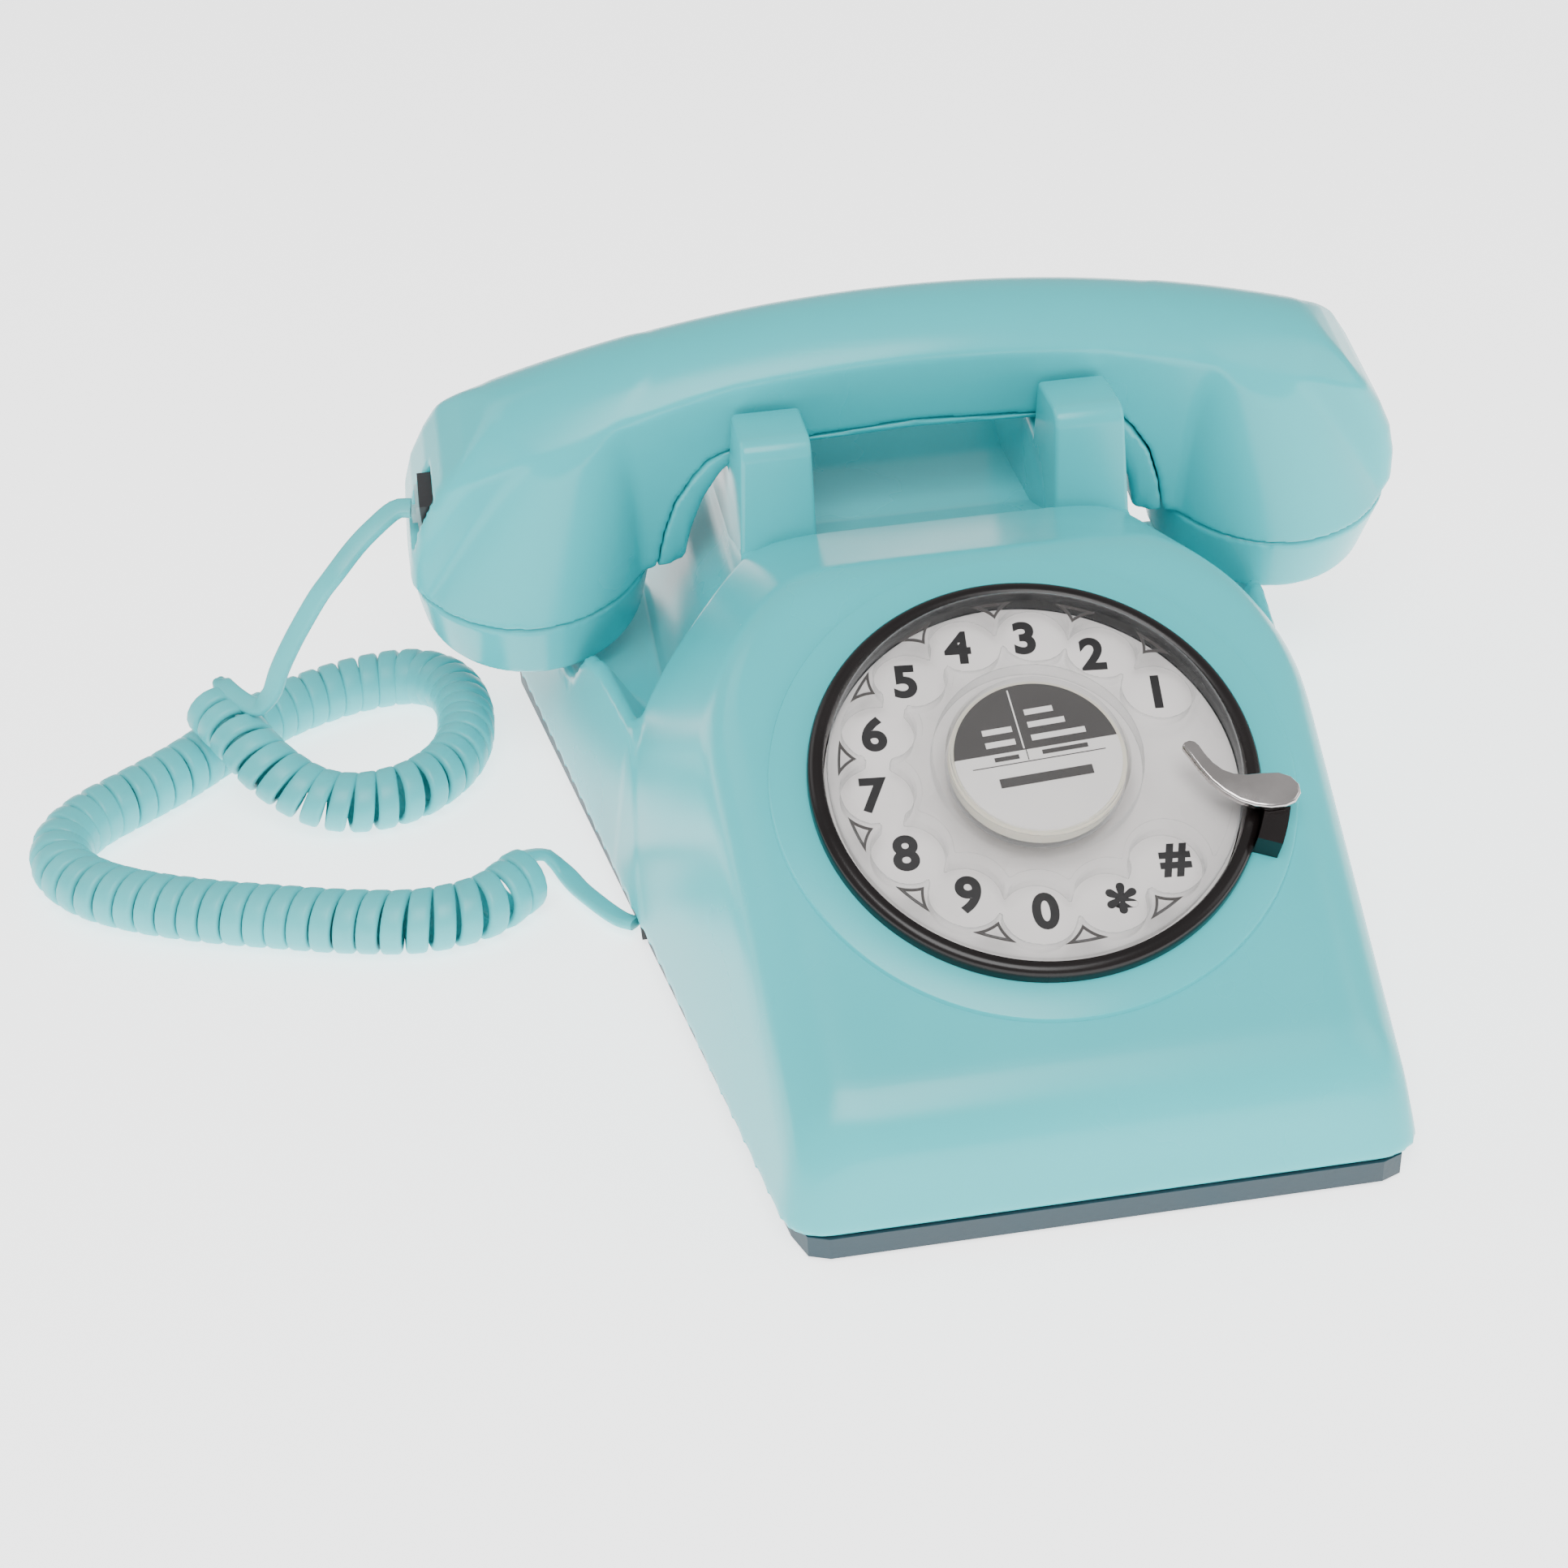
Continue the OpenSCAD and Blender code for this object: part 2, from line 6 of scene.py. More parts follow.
import json
import logging
import math
from dataclasses import dataclass, field
from enum import Enum
from typing import Sequence

import bmesh
import bpy
import numpy as np
import openvdb
from mathutils import Matrix, Vector

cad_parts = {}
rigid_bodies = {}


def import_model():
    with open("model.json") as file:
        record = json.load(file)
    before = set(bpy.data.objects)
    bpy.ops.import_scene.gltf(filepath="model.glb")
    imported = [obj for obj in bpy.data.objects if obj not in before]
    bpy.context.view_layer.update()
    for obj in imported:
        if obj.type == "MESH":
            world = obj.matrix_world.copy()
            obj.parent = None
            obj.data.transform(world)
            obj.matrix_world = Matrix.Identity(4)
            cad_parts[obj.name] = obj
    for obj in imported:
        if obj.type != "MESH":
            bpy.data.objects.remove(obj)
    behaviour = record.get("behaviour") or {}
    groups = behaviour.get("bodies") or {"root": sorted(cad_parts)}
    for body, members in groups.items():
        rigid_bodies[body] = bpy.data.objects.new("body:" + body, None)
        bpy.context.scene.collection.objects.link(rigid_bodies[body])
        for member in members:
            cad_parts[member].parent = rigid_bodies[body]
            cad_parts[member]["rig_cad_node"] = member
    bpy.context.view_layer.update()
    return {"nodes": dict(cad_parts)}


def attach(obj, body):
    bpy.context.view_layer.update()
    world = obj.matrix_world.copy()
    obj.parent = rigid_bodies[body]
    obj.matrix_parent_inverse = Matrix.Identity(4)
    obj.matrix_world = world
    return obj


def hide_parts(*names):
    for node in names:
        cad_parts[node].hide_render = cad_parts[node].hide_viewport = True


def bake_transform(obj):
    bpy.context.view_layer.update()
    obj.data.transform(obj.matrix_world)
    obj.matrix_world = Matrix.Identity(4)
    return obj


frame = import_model()

LOG = logging.getLogger("telephone")
MM = 0.001
Array = np.ndarray
Point = tuple[float, float, float]


# ---------------------------------------------------------------- shared helpers


def smax(a: Array, b: Array, k: float) -> Array:
    """Rounded intersection of two fields.

    Args:
        a: first field.
        b: second field.
        k: how wide the rounding is, in the fields' unit.

    Returns:
        The combined field.
    """
    h = np.clip(0.5 + 0.5 * (a - b) / k, 0.0, 1.0)
    return b + (a - b) * h + k * h * (1.0 - h)


def smin(a: Array, b: Array, k: float) -> Array:
    """Rounded union of two fields, the mirror image of smax."""
    return -smax(-a, -b, k)


def mesh_object(
    name: str, points: Array, faces: Sequence[Sequence[int]] | Array, smooth: bool = True
) -> bpy.types.Object:
    """Makes an object from points in metres and faces, turned so that it encloses a positive volume.

    Args:
        name: the object's name.
        points: an (n, 3) array of positions in the row frame.
        faces: the vertex numbers of each face.
        smooth: whether its faces are shaded smooth.

    Returns:
        The new object, linked to the scene.
    """
    mesh = bpy.data.meshes.new(name)
    mesh.from_pydata(
        [tuple(p) for p in np.asarray(points, float)], [], [tuple(int(i) for i in f) for f in faces]
    )
    mesh.validate()
    mesh.update()
    bm = bmesh.new()
    bm.from_mesh(mesh)
    if bm.calc_volume(signed=True) < 0:
        bmesh.ops.reverse_faces(bm, faces=bm.faces)
    bm.to_mesh(mesh)
    bm.free()
    if smooth:
        mesh.shade_smooth()
    piece = bpy.data.objects.new(name, mesh)
    bpy.context.scene.collection.objects.link(piece)
    return piece


def from_bmesh(name: str, bm: bmesh.types.BMesh, matrix: Matrix | None = None) -> bpy.types.Object:
    """Turns a bmesh into an object with its place in its mesh.

    Args:
        name: the object's name.
        bm: the shape, which is freed.
        matrix: where the shape goes.

    Returns:
        The new object.
    """
    if matrix is not None:
        bm.transform(matrix)
    mesh = bpy.data.meshes.new(name)
    bm.to_mesh(mesh)
    bm.free()
    piece = bpy.data.objects.new(name, mesh)
    bpy.context.scene.collection.objects.link(piece)
    return piece


def bevelled(
    piece: bpy.types.Object, width: float, segments: int = 3, angle: float = 35.0
) -> bpy.types.Object:
    """Rounds a piece's sharp edges and keeps the result as a plain mesh.

    Args:
        piece: the piece.
        width: the rounding's width in metres.
        segments: how many facets the rounding has.
        angle: the least angle, in degrees, of an edge that is rounded.

    Returns:
        The same piece.
    """
    mod = piece.modifiers.new("rounding", "BEVEL")
    mod.width = width
    mod.segments = segments
    mod.limit_method = "ANGLE"
    mod.angle_limit = math.radians(angle)
    mod.harden_normals = False
    baked = bpy.data.meshes.new_from_object(piece.evaluated_get(bpy.context.evaluated_depsgraph_get()))
    piece.modifiers.clear()
    piece.data = baked
    shade_by_angle(piece, 40.0)
    return piece


def shade_by_angle(piece: bpy.types.Object, angle: float) -> None:
    """Shades a piece smooth except across edges sharper than an angle in degrees."""
    mesh = piece.data
    mesh.shade_smooth()
    bm = bmesh.new()
    bm.from_mesh(mesh)
    limit = math.radians(angle)
    for edge in bm.edges:
        edge.smooth = len(edge.link_faces) != 2 or edge.calc_face_angle(0.0) < limit
    bm.to_mesh(mesh)
    bm.free()


@dataclass
class Grid:
    """A block of space that a field is sampled in, in millimetres."""

    low: Point
    high: Point
    step: float

    def axes(self) -> tuple[Array, Array, Array]:
        """The sample positions as three arrays that broadcast against each other."""
        x, y, z = (
            np.arange(a, b + self.step, self.step, dtype=np.float32) for a, b in zip(self.low, self.high)
        )
        return x[:, None, None], y[None, :, None], z[None, None, :]

    def skin(self, name: str, values: Array, place: Matrix) -> bpy.types.Object:
        """The closed surface where a field crosses zero.

        Args:
            name: the new object's name.
            values: the field over the whole block, negative inside.
            place: from the block's millimetres to the row frame.

        Returns:
            The new object.
        """
        x, y, z = self.axes()
        shape = (x.shape[0], y.shape[1], z.shape[2])
        dense = np.ascontiguousarray(np.broadcast_to(values, shape), dtype=np.float32).copy()
        dense[[0, -1], :, :] = dense[:, [0, -1], :] = 5.0
        dense[:, :, [0, -1]] = 5.0
        grid = openvdb.FloatGrid(5.0)
        grid.copyFromArray(dense)
        points, quads = grid.convertToQuads(0.0)
        points = np.asarray(points, float) * self.step + np.array(self.low)
        matrix = np.array(place)
        points = points @ matrix[:3, :3].T + matrix[:3, 3]
        return mesh_object(name, points, np.asarray(quads))


# ---------------------------------------------------------------- finishes


class Body(Enum):
    """The CAD bodies that pieces ride on."""

    BASE = "base"
    DIAL = "dial"
    BUTTON = "button"
    HANDSET = "handset"


class Coords(Enum):
    """Where a pattern is anchored."""

    OBJECT = "Object"


def new_material(name: str) -> tuple[bpy.types.Material, bpy.types.ShaderNodeTree, bpy.types.ShaderNode]:
    """An empty node material with its shader.

    Args:
        name: the material's name.

    Returns:
        The material, its node tree and its Principled shader.
    """
    material = bpy.data.materials.new(name)
    material.use_nodes = True
    tree = material.node_tree
    return material, tree, tree.nodes["Principled BSDF"]


def noise_node(tree: bpy.types.ShaderNodeTree, scale: float, detail: float = 3.0) -> bpy.types.ShaderNode:
    """A noise texture on object coordinates.

    Args:
        tree: the material's node tree.
        scale: bumps per metre.
        detail: octaves of finer noise.

    Returns:
        The noise node.
    """
    coords = tree.nodes.new("ShaderNodeTexCoord")
    mapping = tree.nodes.new("ShaderNodeMapping")
    noise = tree.nodes.new("ShaderNodeTexNoise")
    noise.inputs["Scale"].default_value = scale
    noise.inputs["Detail"].default_value = detail
    tree.links.new(coords.outputs[Coords.OBJECT.value], mapping.inputs["Vector"])
    tree.links.new(mapping.outputs["Vector"], noise.inputs["Vector"])
    return noise


def ramp_node(
    tree: bpy.types.ShaderNodeTree, source: bpy.types.NodeSocket, low: float, high: float
) -> bpy.types.NodeSocket:
    """Maps a 0.35 to 0.65 signal onto a range of numbers.

    Args:
        tree: the material's node tree.
        source: the signal.
        low: the result at 0.35.
        high: the result at 0.65.

    Returns:
        The mapped signal.
    """
    node = tree.nodes.new("ShaderNodeMapRange")
    node.inputs["From Min"].default_value = 0.35
    node.inputs["From Max"].default_value = 0.65
    node.inputs["To Min"].default_value = low
    node.inputs["To Max"].default_value = high
    tree.links.new(source, node.inputs["Value"])
    return node.outputs["Result"]


@dataclass(frozen=True)
class Plastic:
    """A moulded or coated surface with a slight unevenness of tone, sheen and height."""

    name: str
    colour: tuple[float, float, float]
    tone: float = 0.03
    roughness: float = 0.3
    roughness_spread: float = 0.05
    patch_scale: float = 30.0
    grain_scale: float = 2500.0
    grain_depth: float = 0.00001
    metallic: float = 0.0
    coat: float = 0.0
    sheen: float = 0.0
    subsurface: float = 0.0
    gloss: float = 0.5

    def build(self) -> bpy.types.Material:
        """Makes the material."""
        material, tree, shader = new_material(self.name)
        patches = noise_node(tree, self.patch_scale, 4.0)
        mix = tree.nodes.new("ShaderNodeMix")
        mix.data_type = "RGBA"
        dark = [c * (1.0 - self.tone) for c in self.colour]
        light = [min(1.0, c * (1.0 + self.tone)) for c in self.colour]
        mix.inputs["A"].default_value = (*dark, 1.0)
        mix.inputs["B"].default_value = (*light, 1.0)
        tree.links.new(ramp_node(tree, patches.outputs["Fac"], 0.0, 1.0), mix.inputs["Factor"])
        tree.links.new(mix.outputs["Result"], shader.inputs["Base Color"])
        spread = self.roughness_spread
        rough = ramp_node(tree, patches.outputs["Fac"], self.roughness - spread, self.roughness + spread)
        tree.links.new(rough, shader.inputs["Roughness"])
        grain = noise_node(tree, self.grain_scale, 2.0)
        bump = tree.nodes.new("ShaderNodeBump")
        bump.inputs["Strength"].default_value = 0.6
        bump.inputs["Distance"].default_value = self.grain_depth
        tree.links.new(grain.outputs["Fac"], bump.inputs["Height"])
        tree.links.new(bump.outputs["Normal"], shader.inputs["Normal"])
        shader.inputs["Metallic"].default_value = self.metallic
        shader.inputs["Specular IOR Level"].default_value = self.gloss
        shader.inputs["Coat Weight"].default_value = self.coat
        shader.inputs["Coat Roughness"].default_value = 0.12
        shader.inputs["Sheen Weight"].default_value = self.sheen
        shader.inputs["Subsurface Weight"].default_value = self.subsurface
        shader.inputs["Subsurface Scale"].default_value = 0.002
        return material


@dataclass(frozen=True)
class Clear:
    """Clear moulded plastic that is faint face on and bright or dark where it turns away."""

    name: str
    colour: tuple[float, float, float] = (0.3, 0.32, 0.33)
    faint: float = 0.1
    edge: float = 0.8
    roughness: float = 0.05

    def build(self) -> bpy.types.Material:
        """Makes the material."""
        material, tree, shader = new_material(self.name)
        weight = tree.nodes.new("ShaderNodeLayerWeight")
        weight.inputs["Blend"].default_value = 0.25
        span = tree.nodes.new("ShaderNodeMapRange")
        span.interpolation_type = "SMOOTHERSTEP"
        span.inputs["From Min"].default_value = 0.12
        span.inputs["To Min"].default_value = self.faint
        span.inputs["To Max"].default_value = self.edge
        tree.links.new(weight.outputs["Facing"], span.inputs["Value"])
        tree.links.new(span.outputs["Result"], shader.inputs["Alpha"])
        ripple = noise_node(tree, 120.0, 1.0)
        bump = tree.nodes.new("ShaderNodeBump")
        bump.inputs["Strength"].default_value = 0.35
        bump.inputs["Distance"].default_value = 0.0003
        tree.links.new(ripple.outputs["Fac"], bump.inputs["Height"])
        tree.links.new(bump.outputs["Normal"], shader.inputs["Normal"])
        shader.inputs["Base Color"].default_value = (*self.colour, 1.0)
        shader.inputs["Roughness"].default_value = self.roughness
        shader.inputs["IOR"].default_value = 1.49
        material.surface_render_method = "BLENDED"
        return material


SHELL = Plastic(
    "shell_turquoise", (0.045, 0.53, 0.57), 0.018, 0.25, 0.035, 22.0, 1800.0, 0.000012, gloss=0.42,
    subsurface=0.05
)
CORD = Plastic(
    "cord_turquoise", (0.07, 0.53, 0.56), 0.04, 0.42, 0.05, 60.0, 1500.0, 0.00003, subsurface=0.05
)
BLACK = Plastic("gloss_black", (0.008, 0.006, 0.006), 0.15, 0.24, 0.05, 50.0, 1500.0, 0.00001, gloss=0.3)
DARK = Plastic("dull_black", (0.02, 0.02, 0.022), 0.2, 0.5, 0.08, 60.0, 1200.0, 0.00004)
SLATE = Plastic("slate_base", (0.02, 0.045, 0.06), 0.15, 0.55, 0.08, 40.0, 900.0, 0.00008)
CARD = Plastic("pearl_card", (0.8, 0.765, 0.75), 0.05, 0.3, 0.06, 45.0, 900.0, 0.00001, coat=0.2)
WHITE = Plastic("label_white", (0.82, 0.79, 0.77), 0.02, 0.45, 0.05, 60.0, 900.0, 0.00001)
# this near-black is the label's print and also the painted bezel reflections on the finger wheel
GREY = Plastic("label_grey", (0.04, 0.034, 0.032), 0.04, 0.4, 0.05, 60.0, 900.0, 0.00001)
INK = Plastic("digit_ink", (0.012, 0.011, 0.012), 0.1, 0.4, 0.05, 90.0, 900.0, 0.00001)
CHROME = Plastic("stop_chrome", (0.5, 0.47, 0.46), 0.1, 0.16, 0.06, 90.0, 1800.0, 0.00002, metallic=1.0)
STEEL = Plastic("plain_steel", (0.42, 0.42, 0.43), 0.12, 0.35, 0.08, 80.0, 1400.0, 0.00004, metallic=1.0)
BRASS = Plastic("gear_brass", (0.58, 0.4, 0.16), 0.1, 0.32, 0.08, 90.0, 1400.0, 0.00003, metallic=1.0)
COPPER = Plastic("wound_copper", (0.55, 0.21, 0.09), 0.18, 0.4, 0.08, 500.0, 1400.0, 0.00006, metallic=1.0)
IVORY = Plastic("ivory_nylon", (0.7, 0.66, 0.55), 0.04, 0.4, 0.06, 70.0, 1200.0, 0.00002, subsurface=0.1)
RUBBER = Plastic("foot_rubber", (0.014, 0.014, 0.015), 0.2, 0.8, 0.06, 90.0, 1600.0, 0.0001)
BOARD = Plastic("board_green", (0.02, 0.12, 0.05), 0.2, 0.4, 0.08, 200.0, 1400.0, 0.00003)
CLEAR = Clear("clear_wheel", faint=0.04, edge=0.95)
PLUG_CLEAR = Clear("clear_plug", (0.7, 0.78, 0.79), 0.35, 0.85, 0.12)

FINISHES: dict[str, bpy.types.Material] = {
    f.name: f.build()
    for f in (
        SHELL, CORD, BLACK, DARK, SLATE, CARD, WHITE, GREY, INK, CHROME, STEEL, BRASS, COPPER, IVORY,
        RUBBER, BOARD, CLEAR, PLUG_CLEAR
    )
}

CARRIED: dict[str, Plastic | Clear] = {
    "base_plate": SLATE, "rubber_feet": RUBBER, "case_screws": STEEL, "ballast_weight": STEEL,
    "dial_housing": DARK, "dial_shaft": STEEL, "main_gear": BRASS, "return_spring": STEEL,
    "governor_pinion": IVORY, "governor_post": STEEL, "dial_board": BOARD, "pulse_contacts": COPPER,
    "finger_stop_block": BLACK, "button_carrier": IVORY, "button_switch": DARK, "main_board": BOARD,
    "board_parts": DARK, "plunger_left": IVORY, "plunger_right": IVORY, "hook_bar": STEEL,
    "hook_switch": DARK, "hook_springs": STEEL, "gong_left": BRASS, "gong_right": BRASS,
    "gong_posts": STEEL, "ringer_coil": COPPER, "ringer_frame": STEEL, "clapper": STEEL,
    "loudspeaker": DARK, "line_jack": DARK, "cord_clamp": DARK, "volume_slider": BLACK,
    "receiver_capsule": DARK, "microphone_capsule": DARK, "handset_weight": STEEL,
    "handset_screws": STEEL, "handset_cord_jack": DARK, "handset_cord_plug": PLUG_CLEAR,
    "number_plate": CARD,
}


def dress(piece: bpy.types.Object, finish: Plastic | Clear) -> bpy.types.Object:
    """Gives a piece one finish.

    Args:
        piece: the piece or carried CAD node.
        finish: its finish.

    Returns:
        The same piece.
    """
    piece.data.materials.clear()
    piece.data.materials.append(FINISHES[finish.name])
    return piece


def settle(piece: bpy.types.Object, finish: Plastic | Clear, body: Body, *nodes: str) -> bpy.types.Object:
    """Dresses a finished piece, puts it on its body and hides the CAD nodes that it stands for.

    Args:
        piece: the piece.
        finish: its finish.
        body: the CAD body that it rides on.
        nodes: the CAD nodes that it replaces.

    Returns:
        The same piece.
    """
    dress(piece, finish)
    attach(piece, body.value)
    if nodes:
        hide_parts(*nodes)
    LOG.info("%s: %d faces on %s", piece.name, len(piece.data.polygons), body.value)
    return piece


# ---------------------------------------------------------------- node-built pieces


class Input(Enum):
    """The named inputs of the node trees."""

    COUNT = "Count"
    RADIUS = "Ring Radius"
    FIRST = "First Angle"
    PITCH = "Angle Step"
    WIDTH = "Strip Width"
    THICKNESS = "Strip Thickness"
    EDGE = "Edge Radius"
    FINISH = "Finish"
    SEED = "Seed"


class TreeBuilder:
    """Makes one Geometry Nodes tree and bakes it onto an object."""

    def __init__(self, name: str, sizes: dict[Input, float | int]) -> None:
        """Starts a tree with a geometry input, one input for each size and a material input.

        Args:
            name: the tree's name.
            sizes: the value of each named size; a whole number makes an integer socket.
        """
        self.sizes = sizes
        self.tree = bpy.data.node_groups.new(name, "GeometryNodeTree")
        face = self.tree.interface
        face.new_socket("Geometry", in_out="INPUT", socket_type="NodeSocketGeometry")
        for key, value in sizes.items():
            face.new_socket(
                key.value, in_out="INPUT",
                socket_type="NodeSocketInt" if isinstance(value, int) else "NodeSocketFloat"
            )
        face.new_socket(Input.FINISH.value, in_out="INPUT", socket_type="NodeSocketMaterial")
        face.new_socket("Geometry", in_out="OUTPUT", socket_type="NodeSocketGeometry")
        self.source = self.node("NodeGroupInput")
        self.sink = self.node("NodeGroupOutput")

    def node(self, kind: str, **settings: object) -> bpy.types.Node:
        """Adds a node with its settings.

        Args:
            kind: the node's type.
            settings: the properties to set on it.

        Returns:
            The node.
        """
        made = self.tree.nodes.new(kind)
        for key, value in settings.items():
            setattr(made, key, value)
        return made

    def join(self, out: bpy.types.NodeSocket, into: bpy.types.NodeSocket) -> None:
        """Links two sockets."""
        self.tree.links.new(out, into)

    def size(self, key: Input) -> bpy.types.NodeSocket:
        """The socket that carries a named size."""
        return self.source.outputs[key.value]

    def math(
        self, operation: str, a: bpy.types.NodeSocket, b: bpy.types.NodeSocket
    ) -> bpy.types.NodeSocket:
        """Adds a sum, product or other operation on two numbers.

        Args:
            operation: the operation's name.
            a: the first number.
            b: the second number.

        Returns:
            The result.
        """
        made = self.node("ShaderNodeMath", operation=operation)
        self.join(a, made.inputs[0])
        self.join(b, made.inputs[1])
        return made.outputs[0]

    def bake(
        self, piece: bpy.types.Object, shape: bpy.types.NodeSocket, finish: Plastic | Clear
    ) -> bpy.types.Object:
        """Ends the tree, runs it on an object and keeps the result as a plain mesh.

        Args:
            piece: the object that the tree works on.
            shape: the geometry that the tree made.
            finish: the finish that it sets.

        Returns:
            The same object.
        """
        real = self.node("GeometryNodeRealizeInstances")
        paint = self.node("GeometryNodeSetMaterial")
        self.join(shape, real.inputs["Geometry"])
        self.join(real.outputs["Geometry"], paint.inputs["Geometry"])
        self.join(self.source.outputs[Input.FINISH.value], paint.inputs["Material"])
        self.join(paint.outputs["Geometry"], self.sink.inputs["Geometry"])
        mod = piece.modifiers.new(self.tree.name, "NODES")
        mod.node_group = self.tree
        wanted = {key.value: value for key, value in self.sizes.items()}
        wanted[Input.FINISH.value] = FINISHES[finish.name]
        for item in self.tree.interface.items_tree:
            if item.item_type == "SOCKET" and item.in_out == "INPUT" and item.name in wanted:
                mod[item.identifier] = wanted[item.name]
        baked = bpy.data.meshes.new_from_object(piece.evaluated_get(bpy.context.evaluated_depsgraph_get()))
        piece.modifiers.clear()
        piece.data = baked
        return piece


def ring_of(
    piece: bpy.types.Object, finish: Plastic | Clear, place: Matrix, count: int, radius: float,
    first: float, pitch: float, seed: int = 7
) -> bpy.types.Object:
    """Repeats a small shape around a circle with a node tree.

    Args:
        piece: the shape, at the origin with its outer side towards +X.
        finish: its finish.
        place: from the circle's millimetres to the row frame.
        count: how many copies there are.
        radius: the circle's radius in millimetres.
        first: the first copy's angle in radians.
        pitch: the angle from one copy to the next.
        seed: the seed of the copies' slight unevenness.

    Returns:
        The same object, holding every copy.
    """
    tree = TreeBuilder(
        piece.name + "_ring",
        {
            Input.COUNT: count, Input.RADIUS: float(radius), Input.FIRST: float(first),
            Input.PITCH: float(pitch), Input.SEED: seed,
        })
    line = tree.node("GeometryNodeMeshLine")
    tree.join(tree.size(Input.COUNT), line.inputs["Count"])
    line.inputs["Offset"].default_value = (0.0, 0.0, 0.0)
    index = tree.node("GeometryNodeInputIndex")
    angle = tree.math(
        "ADD", tree.math("MULTIPLY", index.outputs[0], tree.size(Input.PITCH)), tree.size(Input.FIRST)
    )
    uneven = tree.node("FunctionNodeRandomValue", data_type="FLOAT")
    uneven.inputs["Min"].default_value = -0.002
    uneven.inputs["Max"].default_value = 0.002
    tree.join(tree.size(Input.SEED), uneven.inputs["Seed"])
    angle = tree.math("ADD", angle, next(o for o in uneven.outputs if o.enabled and o.type == "VALUE"))
    cos = tree.node("ShaderNodeMath", operation="COSINE")
    sin = tree.node("ShaderNodeMath", operation="SINE")
    tree.join(angle, cos.inputs[0])
    tree.join(angle, sin.inputs[0])
    spot = tree.node("ShaderNodeCombineXYZ")
    tree.join(tree.math("MULTIPLY", cos.outputs[0], tree.size(Input.RADIUS)), spot.inputs["X"])
    tree.join(tree.math("MULTIPLY", sin.outputs[0], tree.size(Input.RADIUS)), spot.inputs["Y"])
    move = tree.node("GeometryNodeSetPosition")
    tree.join(line.outputs["Mesh"], move.inputs["Geometry"])
    tree.join(spot.outputs["Vector"], move.inputs["Position"])
    turn = tree.node("ShaderNodeCombineXYZ")
    tree.join(angle, turn.inputs["Z"])
    copies = tree.node("GeometryNodeInstanceOnPoints")
    tree.join(move.outputs["Geometry"], copies.inputs["Points"])
    tree.join(tree.source.outputs["Geometry"], copies.inputs["Instance"])
    tree.join(turn.outputs["Vector"], copies.inputs["Rotation"])
    tree.bake(piece, copies.outputs["Instances"], finish)
    piece.data.transform(place)
    return piece


def strip_along(
    name: str, path: Array, flat_way: Array, finish: Plastic | Clear, width: float, thickness: float,
    edge: float
) -> bpy.types.Object:
    """Sweeps a flat strip with rounded edges along a path with a node tree.

    Args:
        name: the piece's name.
        path: the path's points in metres.
        flat_way: at each point, the direction of the strip's thin side.
        finish: its finish.
        width: the strip's width in metres.
        thickness: the strip's thickness in metres.
        edge: the radius of its long edges in metres.

    Returns:
        The closed piece.
    """
    mesh = bpy.data.meshes.new(name)
    mesh.from_pydata([tuple(p) for p in path], [(i, i + 1) for i in range(len(path) - 1)], [])
    way = mesh.attributes.new("flat_way", "FLOAT_VECTOR", "POINT")
    way.data.foreach_set("vector", np.ascontiguousarray(flat_way, dtype=np.float32).ravel())
    piece = bpy.data.objects.new(name, mesh)
    bpy.context.scene.collection.objects.link(piece)
    tree = TreeBuilder(
        name + "_sweep",
        {Input.WIDTH: float(width), Input.THICKNESS: float(thickness), Input.EDGE: float(edge)}
    )
    curve = tree.node("GeometryNodeMeshToCurve")
    tree.join(tree.source.outputs["Geometry"], curve.inputs["Mesh"])
    named = tree.node("GeometryNodeInputNamedAttribute", data_type="FLOAT_VECTOR")
    named.inputs["Name"].default_value = "flat_way"
    normal = tree.node("GeometryNodeSetCurveNormal", mode="FREE")
    tree.join(curve.outputs["Curve"], normal.inputs["Curve"])
    tree.join(next(o for o in named.outputs if o.enabled and o.type == "VECTOR"), normal.inputs["Normal"])
    section = tree.node("GeometryNodeCurvePrimitiveQuadrilateral", mode="RECTANGLE")
    tree.join(tree.size(Input.THICKNESS), section.inputs["Width"])
    tree.join(tree.size(Input.WIDTH), section.inputs["Height"])
    fillet = tree.node("GeometryNodeFilletCurve", mode="POLY")
    fillet.inputs["Count"].default_value = 3
    tree.join(section.outputs["Curve"], fillet.inputs["Curve"])
    tree.join(tree.size(Input.EDGE), fillet.inputs["Radius"])
    sweep = tree.node("GeometryNodeCurveToMesh")
    sweep.inputs["Fill Caps"].default_value = True
    tree.join(normal.outputs["Curve"], sweep.inputs["Curve"])
    tree.join(fillet.outputs["Curve"], sweep.inputs["Profile Curve"])
    tree.bake(piece, sweep.outputs["Mesh"], finish)
    return face_out(piece)


def face_out(piece: bpy.types.Object) -> bpy.types.Object:
    """Merges a closed piece's seams, turns its faces outward and shades it smooth."""
    bm = bmesh.new()
    bm.from_mesh(piece.data)
    bmesh.ops.remove_doubles(bm, verts=bm.verts, dist=1e-7)
    bmesh.ops.recalc_face_normals(bm, faces=bm.faces)
    if bm.calc_volume(signed=True) < 0:
        bmesh.ops.reverse_faces(bm, faces=bm.faces)
    bm.to_mesh(piece.data)
    bm.free()
    shade_by_angle(piece, 50.0)
    return piece


# ---------------------------------------------------------------- camera and studio


